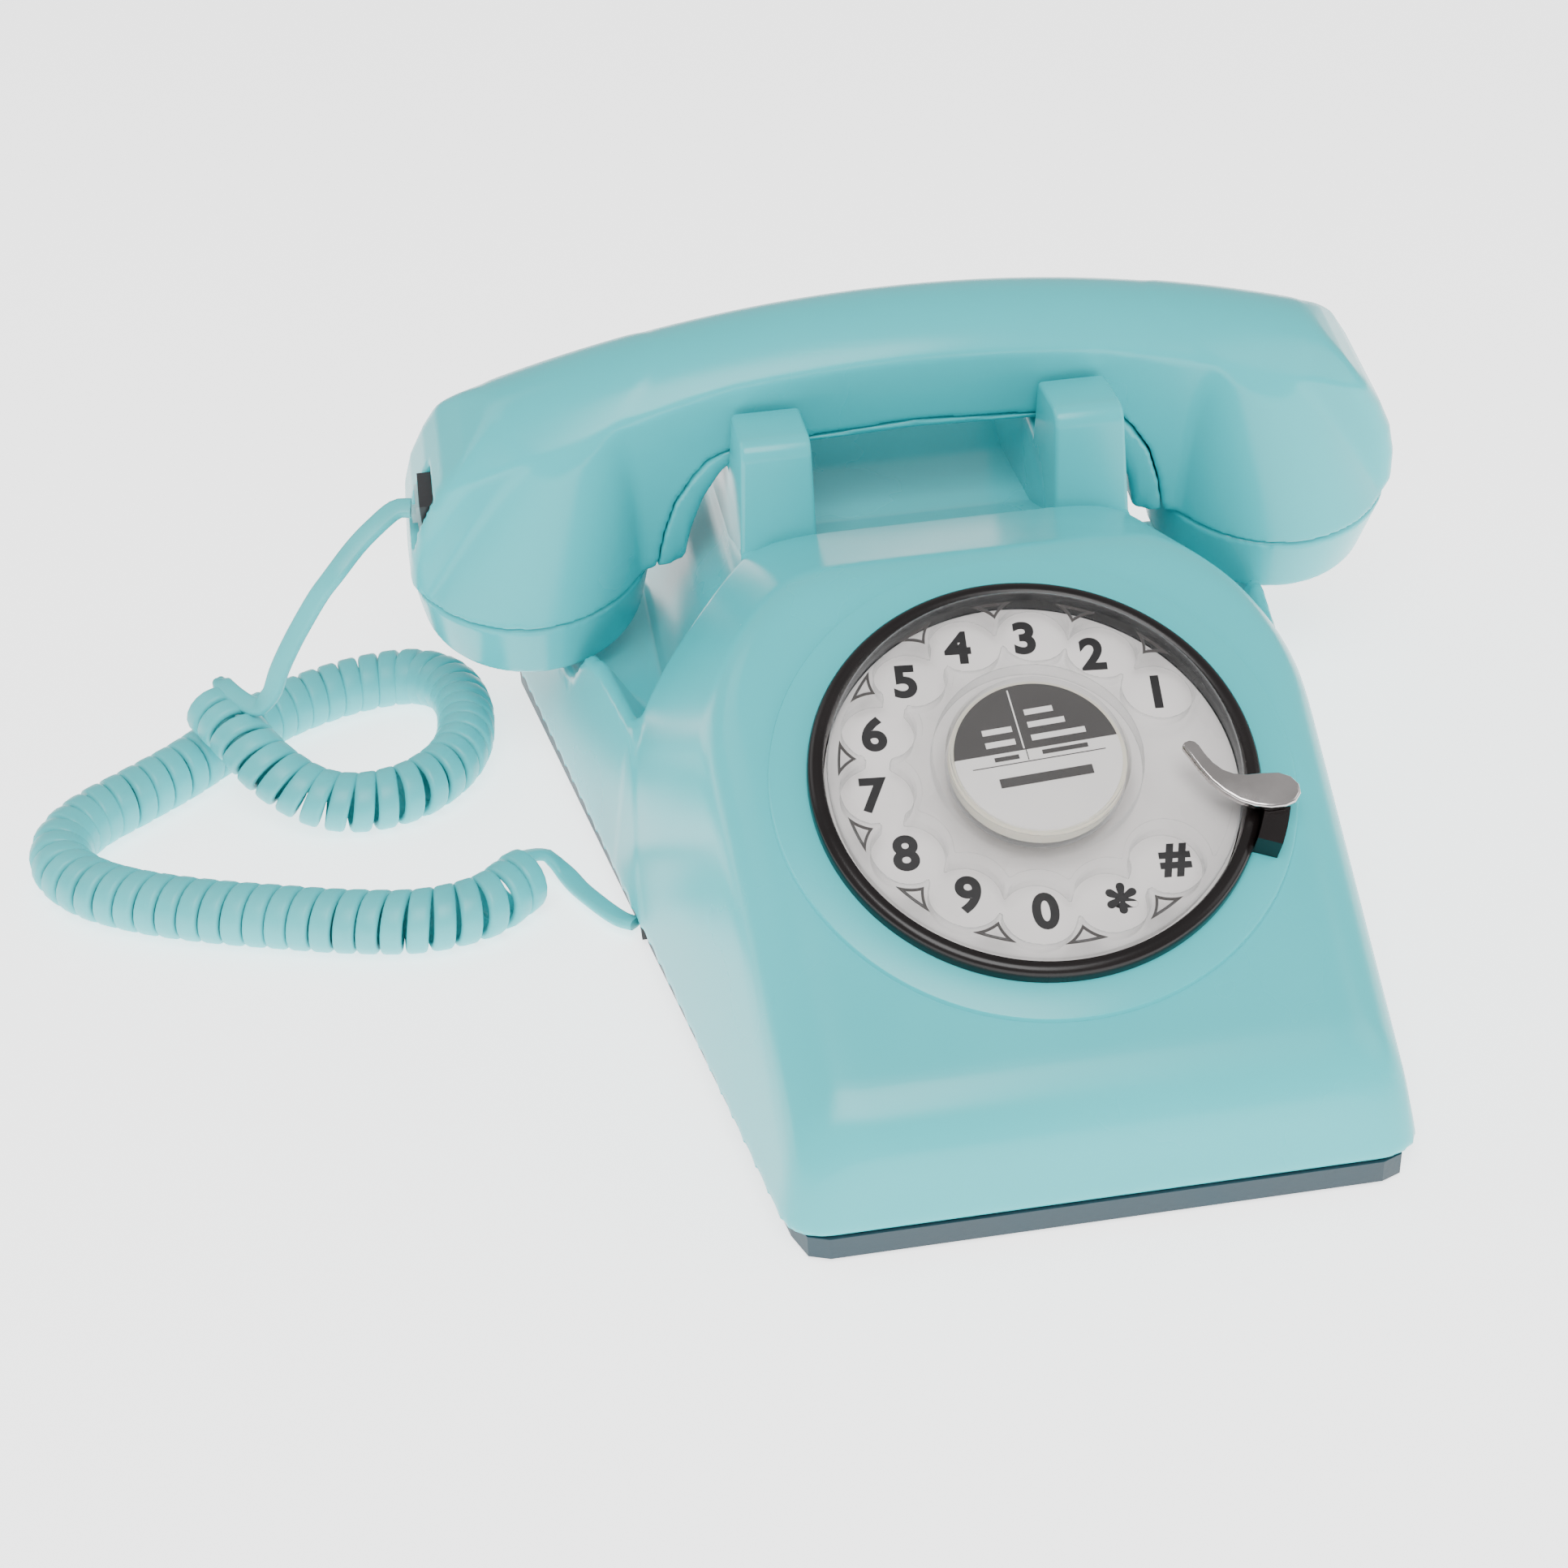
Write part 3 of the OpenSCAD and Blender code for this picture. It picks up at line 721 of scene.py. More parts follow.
@dataclass
class Studio:
    """The camera, the pale floor and the soft lights."""

    eye: Point = (-0.08977, -0.42484, 0.30004)
    yaw: float = 6.64
    pitch: float = 32.39
    roll: float = -3.40
    lens: float = 56.03
    floor_half: float = 1.6

    def camera(self) -> None:
        """Places the camera that the main view uses."""
        a, b, c = (math.radians(v) for v in (self.yaw, self.pitch, self.roll))
        ahead = Vector((math.sin(a) * math.cos(b), math.cos(a) * math.cos(b), -math.sin(b)))
        right = Vector((math.cos(a), -math.sin(a), 0.0))
        up = right.cross(ahead)
        right, up = right * math.cos(c) + up * math.sin(c), up * math.cos(c) - right * math.sin(c)
        data = bpy.data.cameras.new("main_view")
        data.lens = self.lens
        data.sensor_width = 36.0
        data.clip_start = 0.01
        camera = bpy.data.objects.new("main_view", data)
        matrix = Matrix((right, up, -ahead)).transposed().to_4x4()
        matrix.translation = Vector(self.eye)
        camera.matrix_world = matrix
        bpy.context.scene.collection.objects.link(camera)
        bpy.context.scene.camera = camera

    def floor(self) -> None:
        """Makes the plain pale floor."""
        s = self.floor_half
        piece = mesh_object(
            "floor", np.array([[-s, -s, 0], [s, -s, 0], [s, s, 0], [-s, s, 0]]), [[0, 1, 2, 3]]
        )
        material, _, shader = new_material("floor_white")
        shader.inputs["Base Color"].default_value = (0.9, 0.9, 0.9, 1.0)
        shader.inputs["Roughness"].default_value = 0.9
        shader.inputs["Emission Color"].default_value = (1.0, 1.0, 1.0, 1.0)
        shader.inputs["Emission Strength"].default_value = 2.0
        piece.data.materials.append(material)

    def lamp(self, name: str, place: Point, aim: Point, size: float, power: float) -> None:
        """Adds one square soft light.

        Args:
            name: the light's name.
            place: where it is.
            aim: the point that it faces.
            size: its side in metres.
            power: its power in watts.
        """
        data = bpy.data.lights.new(name, "AREA")
        data.size = size
        data.energy = power
        light = bpy.data.objects.new(name, data)
        light.location = place
        light.rotation_euler = (Vector(aim) - Vector(place)).to_track_quat("-Z", "Y").to_euler()
        bpy.context.scene.collection.objects.link(light)

    def build(self) -> None:
        """Makes everything around the telephone."""
        self.camera()
        self.floor()
        world = bpy.data.worlds.new("studio")
        world.use_nodes = True
        world.node_tree.nodes["Background"].inputs["Color"].default_value = (1.0, 1.0, 1.0, 1.0)
        world.node_tree.nodes["Background"].inputs["Strength"].default_value = 0.62
        bpy.context.scene.world = world
        self.lamp("key", (-0.15, -0.75, 1.15), (0.0, 0.0, 0.05), 0.8, 17.0)
        self.lamp("back", (-0.9, 0.5, 0.9), (0.0, 0.0, 0.05), 0.7, 2.5)
        self.lamp("fill", (0.9, -0.3, 0.6), (0.0, 0.0, 0.05), 0.6, 2.0)


# ---------------------------------------------------------------- curly cord


@dataclass
class CurlyCord:
    """The flat cord with its wound middle, from the handset's socket to the one in the case."""

    width: float = 4.6
    thickness: float = 2.3
    coil_d: float = 13.6
    pitch: float = 4.85
    per_turn: int = 20
    edge: float = 1.05
    lead_top: tuple[Point, ...] = (
        (
            -111.12, 69, 67.9
        ), (-114.5, 69, 67.9), (-119.5, 66, 65.6), (-124, 63.5, 62.6), (-129, 60, 58.5), (-133, 60, 54),
        (-137, 60, 48.5), (-141, 60, 42.5), (-144.5, 60, 36.5), (-147, 60.5, 31), (-149.5, 61.5, 27.5))
    coil_route: tuple[Point, ...] = (
        (-163, 73.5, 22), (-157, 64, 19.5), (-150, 55.5, 14), (-141, 50, 9), (-131, 48, 7),
        (-120, 50, 7), (-112, 57, 7), (-107.5, 66, 7), (-106, 76, 7), (-106.5, 87, 7), (-110, 97, 7),
        (-118, 103, 7), (-130, 102.5, 7), (-142, 98, 7), (-152, 91.5, 7), (-162, 82, 7),
        (-172, 71, 7), (-182, 62, 7), (-191, 54, 7), (-196, 45, 7), (-195, 35, 7), (-188, 26, 7),
        (-177, 18.5, 7), (-163, 12, 7), (-148, 6.5, 7), (-133, 1.5, 7), (-118, -1.5, 7),
        (-105, 1, 7), (-96, 9, 7))
    lead_base: tuple[Point, ...] = (
        (-92.5, 16.5, 9), (-89.8, 18, 5.4), (-87.2, 15.6, 2.8), (-84.8, 10, 2.4), (-82, 4, 2.8),
        (-79, -1.5, 3), (-76.6, -4.8, 3), (-74.1, -6.6, 3))

    @staticmethod
    def smooth_route(points: Sequence[Point] | Array, step: float) -> Array:
        """A smooth line through points, sampled evenly.

        Args:
            points: the points that the line passes through.
            step: the distance between samples.

        Returns:
            The samples, an (n, 3) array.
        """
        p = np.asarray(points, float)
        p = np.vstack([2 * p[0] - p[1], p, 2 * p[-1] - p[-2]])
        out = []
        for i in range(1, len(p) - 2):
            a, b, c, d = p[i - 1 : i + 3]
            for t in np.linspace(0, 1, 24, endpoint=False):
                out.append(
                    0.5 * (
                        (2 * b) + (c - a) * t + (
                            2 * a - 5 * b + 4 * c - d
                        ) * t**2 + (3 * b - a - 3 * c + d) * t**3
                    )
                )
        out.append(p[-2])
        line = np.array(out)
        run = np.concatenate([[0], np.cumsum(np.linalg.norm(np.diff(line, axis=0), axis=1))])
        wanted = np.linspace(0, run[-1], max(2, int(round(run[-1] / step)) + 1))
        return np.stack([np.interp(wanted, run, line[:, k]) for k in range(3)], axis=1)

    def route(self) -> tuple[Array, Array]:
        """The cord's centreline and the way its flat side faces.

        Returns:
            The points of the centreline and, at each, the direction of the strip's thin side.
        """
        axis = self.smooth_route(self.coil_route, 0.4)
        run = np.concatenate([[0], np.cumsum(np.linalg.norm(np.diff(axis, axis=0), axis=1))])
        turns = run[-1] / self.pitch
        count = int(turns * self.per_turn)
        along = np.linspace(0, run[-1], count)
        centre = np.stack([np.interp(along, run, axis[:, k]) for k in range(3)], axis=1)
        ahead = np.gradient(centre, axis=0)
        ahead /= np.linalg.norm(ahead, axis=1)[:, None]
        side = np.zeros_like(ahead)
        side[0] = np.cross(ahead[0], [0, 0, 1])
        side[0] /= np.linalg.norm(side[0])
        for i in range(1, count):
            v = side[i - 1] - ahead[i] * np.dot(side[i - 1], ahead[i])
            side[i] = v / np.linalg.norm(v)
        other = np.cross(ahead, side)
        first = centre[0] - np.array(self.lead_top[-1])
        start = math.atan2(-np.dot(first, other[0]), -np.dot(first, side[0])) - 0.35
        angle = start - along / self.pitch * 2 * math.pi
        radius = self.coil_d / 2 - self.thickness / 2
        out = np.cos(angle)[:, None] * side + np.sin(angle)[:, None] * other
        coil = centre + radius * out
        top = self.smooth_route([*self.lead_top[:-1], self.lead_top[-1]], 1.2)
        gap_top = self.bridge(top[-1], top[-1] - top[-2], coil[0], coil[1] - coil[0])
        base = self.smooth_route(self.lead_base[1:], 1.2)
        gap_base = self.bridge(coil[-1], coil[-1] - coil[-2], base[0], base[1] - base[0])
        path = np.vstack([top[:-1], gap_top, coil, gap_base, base[1:]])
        face_top = np.tile([0.0, -0.55, 0.83], (len(top) - 1 + len(gap_top), 1))
        face_base = np.tile([0.0, 0.3, 0.95], (len(gap_base) + len(base) - 1, 1))
        return path, np.vstack([face_top, out, face_base])

    @staticmethod
    def bridge(a: Array, da: Array, b: Array, db: Array) -> Array:
        """Points of a smooth curve between two ends, without the ends.

        Args:
            a: where it starts.
            da: the way it starts.
            b: where it ends.
            db: the way it arrives.

        Returns:
            The points between.
        """
        reach = np.linalg.norm(b - a)
        ta, tb = da / np.linalg.norm(da) * reach, db / np.linalg.norm(db) * reach
        t = np.linspace(0, 1, max(4, int(reach / 1.0)) + 1)[1:-1, None]
        return (
            2 * t**3 - 3 * t**2 + 1
        ) * a + (t**3 - 2 * t**2 + t) * ta + (3 * t**2 - 2 * t**3) * b + (t**3 - t**2) * tb

    def build(self) -> None:
        path, face = self.route()
        ahead = np.gradient(path, axis=0)
        ahead /= np.linalg.norm(ahead, axis=1)[:, None]
        for _ in range(6):
            face[1:-1] = (face[:-2] + face[1:-1] * 2 + face[2:]) / 4
        thin = face - ahead * np.sum(face * ahead, axis=1)[:, None]
        thin /= np.linalg.norm(thin, axis=1)[:, None]
        piece = strip_along(
            "curly_cord", path * MM, thin, CORD, self.width * MM, self.thickness * MM, self.edge * MM
        )
        dress(piece, CORD)
        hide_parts("cord_lead_handset", "cord_coil", "cord_lead_base")
        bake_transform(piece)


# ---------------------------------------------------------------- case


@dataclass
class CaseShell:
    """The wedge-shaped case with its hood, cup pockets and cradle prongs, in millimetres."""

    step: float = 1.2
    front_half: float = 57.5
    spread: float = 0.165
    draft: float = 0.22
    front_y: float = -112.0
    back_y: float = 112.0
    bottom: float = 5.5
    dial_y: float = -54.0
    dial_z: float = 60.0
    tilt: float = 28.0
    face_drop: float = 4.5
    opening_r: float = 40.6
    opening_depth: float = 14.0
    pad_r: float = 49.0
    prong_in: float = 26.0
    prong_out: float = 42.0
    hump_half: float = 42.6
    pocket_floor: float = 25.0

    def dial_place(self) -> Matrix:
        """From the dial's own millimetres, zero at the bezel's top, to the row frame."""
        turn = Matrix.Rotation(math.radians(self.tilt), 4, "X")
        return Matrix.Translation((0.0, self.dial_y * MM, self.dial_z * MM)) @ turn @ Matrix.Scale(MM, 4)

    def values(self, grid: Grid) -> Array:
        """The case's field, negative inside the moulding.

        Args:
            grid: the block of space.

        Returns:
            The field over the block.
        """
        x, y, z = grid.axes()
        ax = np.abs(x)
        half = self.front_half + self.spread * (y - self.front_y) - self.draft * (z - self.bottom)
        wall = (ax - half) * 0.98
        a = math.radians(self.tilt)
        up = (z - self.dial_z) * math.cos(a) - (y - self.dial_y) * math.sin(a)
        face = up + self.face_drop
        # the hood falls away behind the dial and rounds off towards the sides
        fall = 79.6 - 0.30 * (y + 4.0) - 1.1 * np.logaddexp(0.0, (ax - 40.5) / 4.0) * 4.0
        behind = (z - fall) * 0.8
        top = smax(face, behind, 5.0)
        front = (self.front_y - y) * 0.985 + 0.17 * (z - self.bottom) * 0.985
        wedge = smax(smax(top, wall, 12.0), front, 8.0)
        pocket_line = 0.617 * ax + 0.787 * y - 54.6
        back_wall = self.back_y - 0.06 * (z - self.bottom) - y
        # the side walls stand up beside the cups, and the floor between them slopes in from their tops
        rise = np.interp(
            y, [-20.0, 6.0, 11.0, 42.0, 50.0, 54.0, 57.0, 60.0, 75.0],
            [-6.0, 32.0, 38.8, 38.8, 36.5, 32.5, 28.0, 26.3, 25.6]
        )
        slope = np.interp(
            ax, [40.0, self.hump_half, 50.0, 56.0, 60.0, 64.0], [56.0, 53.0, 46.0, 35.0, 27.0, 0.0]
        )
        flank = np.where(y > 30.0, slope, 0.0)
        floor = np.maximum(
            rise - 1.25 * np.maximum(half - ax - 2.6, 0.0),
            self.pocket_floor - 0.9 * np.logaddexp(0.0, (6.0 - y) / 3.0) * 3.0
        )
        hood = smax(wedge, np.minimum(pocket_line, ax - self.hump_half), 2.2)
        rear_profile = np.interp(
            y, [30.0, 36.0, 60.0, 88.0, 98.0, 104.0, 108.0, 114.0],
            [66.5, 65.0, 57.5, 57.5, 62.0, 62.5, 59.0, 40.0]
        )
        hump = smax((z - rear_profile) * 0.93, ax - self.hump_half, 2.0)
        low = smax(smax((z - np.maximum(floor, flank)) * 0.6, wall, 1.2), front + 2.0, 6.0)
        shape = smin(np.where(y > 36.0, hump, hood), low, 2.0)
        shape = smax(shape, -back_wall, 6.0)
        shape = smax(shape, wall, 1.2)
        shape = smax(shape, self.bottom - z, 1.6)
        across = np.sqrt(x**2 + ((y - self.dial_y) * math.cos(a) + (z - self.dial_z) * math.sin(a)) ** 2)
        well = np.maximum(across - self.opening_r, -(up + self.opening_depth))
        socket = np.maximum(np.maximum(np.abs(x - 31.0) - 5.7, np.abs(z - 13.6) - 4.1), 99.0 - y)
        slot = np.maximum(np.maximum(np.abs(x + 33.0) - 7.8, np.abs(z - 12.7) - 1.8), 104.0 - y)
        return np.maximum(shape, -np.minimum(well, np.minimum(socket, slot)))

    def prong(self, name: str, side: int) -> bpy.types.Object:
        """One side of the cradle, with its front prong, saddle and rear prong.

        Args:
            name: the piece's name.
            side: -1 for the left side and 1 for the right.

        Returns:
            The piece.
        """
        profile = [
            (36.6, 50.0), (36.4, 62.0), (37.0, 85.2), (37.9, 87.4), (40.0, 88.6), (54.0, 88.8), (
                57.2, 74.8
            ),
            (88.5, 83.2), (88.5, 93.0), (98.0, 93.0), (100.5, 91.5), (104.0, 58.0), (104.0, 50.0)]
        bm = bmesh.new()
        ends = []
        for x_low, x_high in (
            (self.prong_in - 0.2, self.prong_in), (self.prong_out + 0.4, self.prong_out - 1.2)
        ):
            ring = []
            for y, z in profile:
                t = min(1.0, max(0.0, (z - 62.0) / 26.5))
                ring.append(bm.verts.new((side * (x_low + (x_high - x_low) * t), y, z)))
            ends.append(ring)
        count = len(profile)
        bm.faces.new(ends[0])
        bm.faces.new(ends[1][::-1])
        for i in range(count):
            j = (i + 1) % count
            bm.faces.new((ends[0][i], ends[1][i], ends[1][j], ends[0][j]))
        bmesh.ops.recalc_face_normals(bm, faces=bm.faces)
        piece = from_bmesh(name, bm, Matrix.Scale(MM, 4))
        return bevelled(piece, 1.0 * MM, 3, 12.0)

    def pad(self) -> bpy.types.Object:
        """The round pad that is raised a millimetre around the bezel."""
        top, low = -self.face_drop + 1.3, -self.face_drop - 4.0
        profile = [(self.opening_r - 0.6, low), (self.opening_r - 0.6, top), (self.pad_r - 0.5, top),
                   (self.pad_r - 0.12, top - 0.15), (self.pad_r + 0.05, top - 0.5), (self.pad_r + 0.3, low)]
        return revolve("dial_pad", profile, self.dial_place(), 160, closed=True)

    def build(self) -> None:
        """Builds the case and its cradle."""
        grid = Grid((-101.0, -115.0, 3.0), (101.0, 115.0, 92.0), self.step)
        place = Matrix.Scale(MM, 4)
        skin = grid.skin("case_skin", self.values(grid), place)
        settle(skin, SHELL, Body.BASE, "case_shell")
        settle(self.pad(), SHELL, Body.BASE)
        settle(self.prong("cradle_left", -1), SHELL, Body.BASE)
        settle(self.prong("cradle_right", 1), SHELL, Body.BASE)


def revolve(
    name: str, profile: Sequence[tuple[float, float]], place: Matrix, count: int, closed: bool
) -> bpy.types.Object:
    """Turns a profile of (radius, height) about the height axis.

    Args:
        name: the piece's name.
        profile: its corners in order.
        place: from the profile's unit to the row frame.
        count: how many steps make a whole turn.
        closed: whether the profile's last corner joins its first.

    Returns:
        The new piece.
    """
    bm = bmesh.new()
    rings = []
    for k in range(count):
        a = 2 * math.pi * k / count
        rings.append([bm.verts.new((r * math.cos(a), r * math.sin(a), z)) for r, z in profile])
    last = len(profile) if closed else len(profile) - 1
    for k in range(count):
        here, there = rings[k], rings[(k + 1) % count]
        for i in range(last):
            j = (i + 1) % len(profile)
            bm.faces.new((here[i], there[i], there[j], here[j]))
    bmesh.ops.remove_doubles(bm, verts=bm.verts, dist=1e-5)
    bmesh.ops.recalc_face_normals(bm, faces=bm.faces)
    piece = from_bmesh(name, bm, place)
    shade_by_angle(piece, 30.0)
    return piece


# ---------------------------------------------------------------- handset


@dataclass
class Handset:
    """The arched handset with its two cups, in its own millimetres, zero at the cups' seam."""

    step: float = 0.9
    cup_u: float = 86.5
    cup_long: float = 29.0
    cup_wide: float = 31.7
    rim_w: float = -17.0
    arch_r: float = 283.0
    front_v: float = 15.5
    rear_v: float = 14.7
    roll: float = 15.0
    origin: Point = (0.0, 81.0, 52.0)

    def place(self) -> Matrix:
        """From the handset's own millimetres to the row frame."""
        turn = Matrix.Rotation(math.radians(self.roll), 4, "X")
        return Matrix.Translation(Vector(self.origin) * MM) @ turn @ Matrix.Scale(MM, 4)

    def values(self, grid: Grid) -> tuple[Array, Array]:
        """The handset's field and the field of the seam between its shells.

        Args:
            grid: the block of space, in the handset's own millimetres.

        Returns:
            The field, negative inside, and a signed distance to the seam, positive above it.
        """
        u, v, w = grid.axes()
        au = np.abs(u)
        drop = u**2 / (2 * self.arch_r)
        crown = 56.0 - 0.129 * v - 0.02914 * v**2 - drop
        top = (w - crown) * np.cos(np.arctan(au / self.arch_r))
        # the end facets lean in above the seam
        ends = np.interp(
            w, [-30.0, 0.0, 10.0, 17.0, 24.0, 30.0, 36.0, 40.0, 60.0],
            [114.2, 113.6, 112.5, 110.5, 107.0, 103.0, 97.5, 93.0, 70.0]
        )
        end = (au - ends) * 0.9
        under = np.interp(
            au, [0.0, 36.0, 38.0, 43.2, 47.0, 50.0, 52.0], [31.0, 29.7, 29.0, 24.0, 17.5, 9.0, 0.0]
        )
        below = (under - w) * np.interp(
            au, [0.0, 36.0, 40.0, 45.0, 48.0, 51.0, 54.0, 56.0],
            [1.0, 0.97, 0.72, 0.53, 0.36, 0.22, 0.3, 1.0]
        )
        wider = np.interp(au, [0.0, 40.0, 75.0, 120.0], [0.0, 0.0, 2.4, 2.6])
        flat = np.maximum(-v - self.front_v - wider, v - self.rear_v - wider)
        handle = smax(smax(smax(flat, end, 6.0), top, 1.3), below, 3.0)
        # each cup is a cone above the seam and tapers to its rim below it
        rise = np.clip(w / 42.0, 0.0, 1.4)
        drop_in = np.clip(-w / 17.0, 0.0, 1.5)
        long = self.cup_long - 11.0 * rise - 3.5 * drop_in
        wide = self.cup_wide - 13.3 * rise**1.15 - 3.8 * drop_in
        middle = self.cup_u - 13.5 * rise
        cup = (np.hypot((au - middle) / long, v / wide) - 1.0) * np.minimum(long, wide) * 0.93
        cup = smax(smax(cup, top, 1.3), end, 3.0)
        cup = smax(cup, self.rim_w - w, 1.5)
        body = smin(handle, cup, 1.2)
        socket = np.maximum(np.maximum(u + 102.0, np.abs(v + 7.5) - 6.1), np.abs(w - 18.5) - 6.4)
        body = smax(body, -socket, 0.8)
        line = np.interp(
            au, [0.0, 36.0, 42.0, 46.0, 49.0, 53.5, 56.5, 58.2, 59.0],
            [34.3, 32.0, 31.0, 29.2, 26.0, 19.0, 10.0, 1.5, 0.0]
        )
        seam = (w - line) * np.interp(
            au, [0.0, 40.0, 48.0, 54.0, 58.6, 60.0], [1.0, 0.95, 0.7, 0.42, 0.4, 1.0]
        )
        return body, seam

    def build(self) -> None:
        """Builds both shells, and the earpiece and mouthpiece holes."""
        grid = Grid((-121.0, -34.0, -20.0), (121.0, 34.0, 60.0), self.step)
        body, seam = self.values(grid)
        upper = grid.skin("handset_top_shell", smax(body, 0.22 - seam, 0.5), self.place())
        settle(upper, SHELL, Body.HANDSET, "handset_upper")
        lower = grid.skin("handset_bottom_shell", smax(body + 0.15, seam + 0.22, 0.5), self.place())
        settle(lower, SHELL, Body.HANDSET, "handset_lower")
        for side, rings in ((1, 2), (-1, 3)):
            self.grille(side, rings)

    def grille(self, side: int, rings: int) -> None:
        """The rings of dark perforations in the face of one cup.

        Args:
            side: 1 for the earpiece on the right and -1 for the mouthpiece on the left.
            rings: how many rings of holes there are.
        """
        middle = Matrix.Translation(((side * self.cup_u), 0.0, self.rim_w - 0.04))
        for k in range(1, rings + 1):
            bm = bmesh.new()
            bmesh.ops.create_cone(bm, cap_ends=True, segments=20, radius1=1.25, radius2=1.25, depth=0.3)
            hole = from_bmesh(f"perforations_{'right' if side > 0 else 'left'}_{k}", bm)
            ring_of(hole, DARK, self.place() @ middle, 6 * k, 5.0 * k, 0.0, math.pi / (3 * k))
            settle(hole, DARK, Body.HANDSET)


# ---------------------------------------------------------------- dial


@dataclass
class Dial:
    """The bezel, printed plate, clear finger wheel, centre button and finger stop."""

    case: CaseShell = field(default_factory=CaseShell)
    hole_ring: float = 29.7
    hole_r: float = 6.75
    first: float = 27.5
    pitch: float = 25.8
    marks: str = "1234567890*#"
    digit_turn: float = -4.0
    digit_shift: tuple[float, ...] = (1.3, -0.4, -0.6, -0.6, -0.2, -0.2, 0.0, 0.2, 1.3, 2.3, 3.3, 3.1)
    wheel_r: float = 38.2
    step: float = 0.45

    def spot(self, index: int, radius: float) -> tuple[float, float]:
        """The place of a finger hole, or of a point beside it, at some radius."""
        a = math.radians(self.first + self.pitch * index)
        return radius * math.cos(a), radius * math.sin(a)

    def bezel(self) -> None:
        """The black ring around the wheel."""
        profile = [
            (38.9, -6.6), (38.9, -0.9), (39.15, -0.3), (39.7, -0.02), (40.6, -0.02), (41.3, -0.25),
            (41.8, -0.8), (42.0, -1.5), (42.0, -3.6), (39.8, -3.6), (39.8, -13.8), (37.5, -13.8),
            (37.5, -6.6)
        ]
        piece = revolve("bezel_ring", profile, self.case.dial_place(), 160, closed=True)
        settle(piece, BLACK, Body.BASE, "dial_bezel")

    def wheel(self) -> None:
        """The clear finger wheel with its hub ring."""
        grid = Grid((-39.6, -39.6, -4.5), (39.6, 39.6, 7.2), self.step)
        x, y, z = grid.axes()
        r = np.hypot(x, y)
        disc = smax(r - self.wheel_r, np.maximum(z - 0.6, -3.4 - z), 0.8)
        bead = smax(np.abs(r - 37.3) - 0.9, np.maximum(z - 1.8, -1.0 - z), 0.7)
        hub = smax(np.abs(r - 18.1) - 1.3, np.maximum(z - 5.6, -1.0 - z), 0.7)
        shape = smin(smin(disc, bead, 0.8), hub, 1.2)
        for i in range(12):
            cx, cy = self.spot(i, self.hole_ring)
            d = np.hypot(x - cx, y - cy)
            lip = smax(np.abs(d - 7.5) - 0.6, np.maximum(z - 1.5, -1.0 - z), 0.5)
            shape = smin(shape, lip, 0.5)
        for i in range(12):
            cx, cy = self.spot(i, self.hole_ring)
            d = np.hypot(x - cx, y - cy)
            shape = smax(shape, self.hole_r - d, 0.7)
        shape = np.maximum(shape, np.maximum(8.0 - r, -3.4 - z))
        shape = smax(shape, -np.maximum(r - 16.7, -(z + 0.4)), 0.5)
        piece = grid.skin("clear_wheel", shape, self.case.dial_place())
        settle(piece, CLEAR, Body.DIAL, "finger_wheel")

    def glyph(
        self, name: str, text: str, size: float, x: float, y: float, z: float, turn: float, bold: float
    ) -> bpy.types.Object:
        """One raised mark, as a closed mesh in the row frame.

        Args:
            name: the piece's name.
            text: the mark.
            size: the font size in millimetres.
            x: its centre across the dial.
            y: its centre up the dial.
            z: its lower face above the bezel's top.
            turn: its turn in degrees.
            bold: how much it is thickened, in millimetres.

        Returns:
            The piece.
        """
        curve = bpy.data.curves.new(name, "FONT")
        curve.body = text
        curve.size = size
        curve.offset = bold
        curve.extrude = 0.04
        curve.align_x = "CENTER"
        curve.align_y = "CENTER"
        curve.resolution_u = 6
        holder = bpy.data.objects.new(name + "_line", curve)
        bpy.context.scene.collection.objects.link(holder)
        mesh = bpy.data.meshes.new_from_object(holder.evaluated_get(bpy.context.evaluated_depsgraph_get()))
        bpy.data.objects.remove(holder)
        low = np.array([v.co[:] for v in mesh.vertices])
        middle = (low.max(0) + low.min(0)) / 2
        spin = Matrix.Rotation(math.radians(turn), 4, "Z")
        shift = Matrix.Translation((x, y, z)) @ spin @ Matrix.Translation((-middle[0], -middle[1], 0.0))
        mesh.transform(self.case.dial_place() @ shift)
        piece = bpy.data.objects.new(name, mesh)
        bpy.context.scene.collection.objects.link(piece)
        return piece

    def print_marks(self) -> None:
        """The printed digits, star and hash under the finger holes."""
        bm = bmesh.new()
        for i, mark in enumerate(self.marks):
            x, y = self.spot(i, self.hole_ring - 0.1)
            y += 2.6
            size = {"*": 12.5, "#": 8.8}.get(mark, 9.6)
            piece = self.glyph("mark", mark, size, x + self.digit_shift[i], y, -5.36, self.digit_turn, 0.36)
            bm.from_mesh(piece.data)
            bpy.data.objects.remove(piece)
        piece = from_bmesh("printed_marks", bm)
        settle(piece, INK, Body.BASE)

    def painted_bezel_reflections(self) -> None:
        """Painted reflection of the black bezel: thin dark outlines of the pockets between the holes, just
        inside the wheel's rim.
        """
        outer, reach = 36.4, 7.75
        half_step = math.radians(self.pitch) / 2

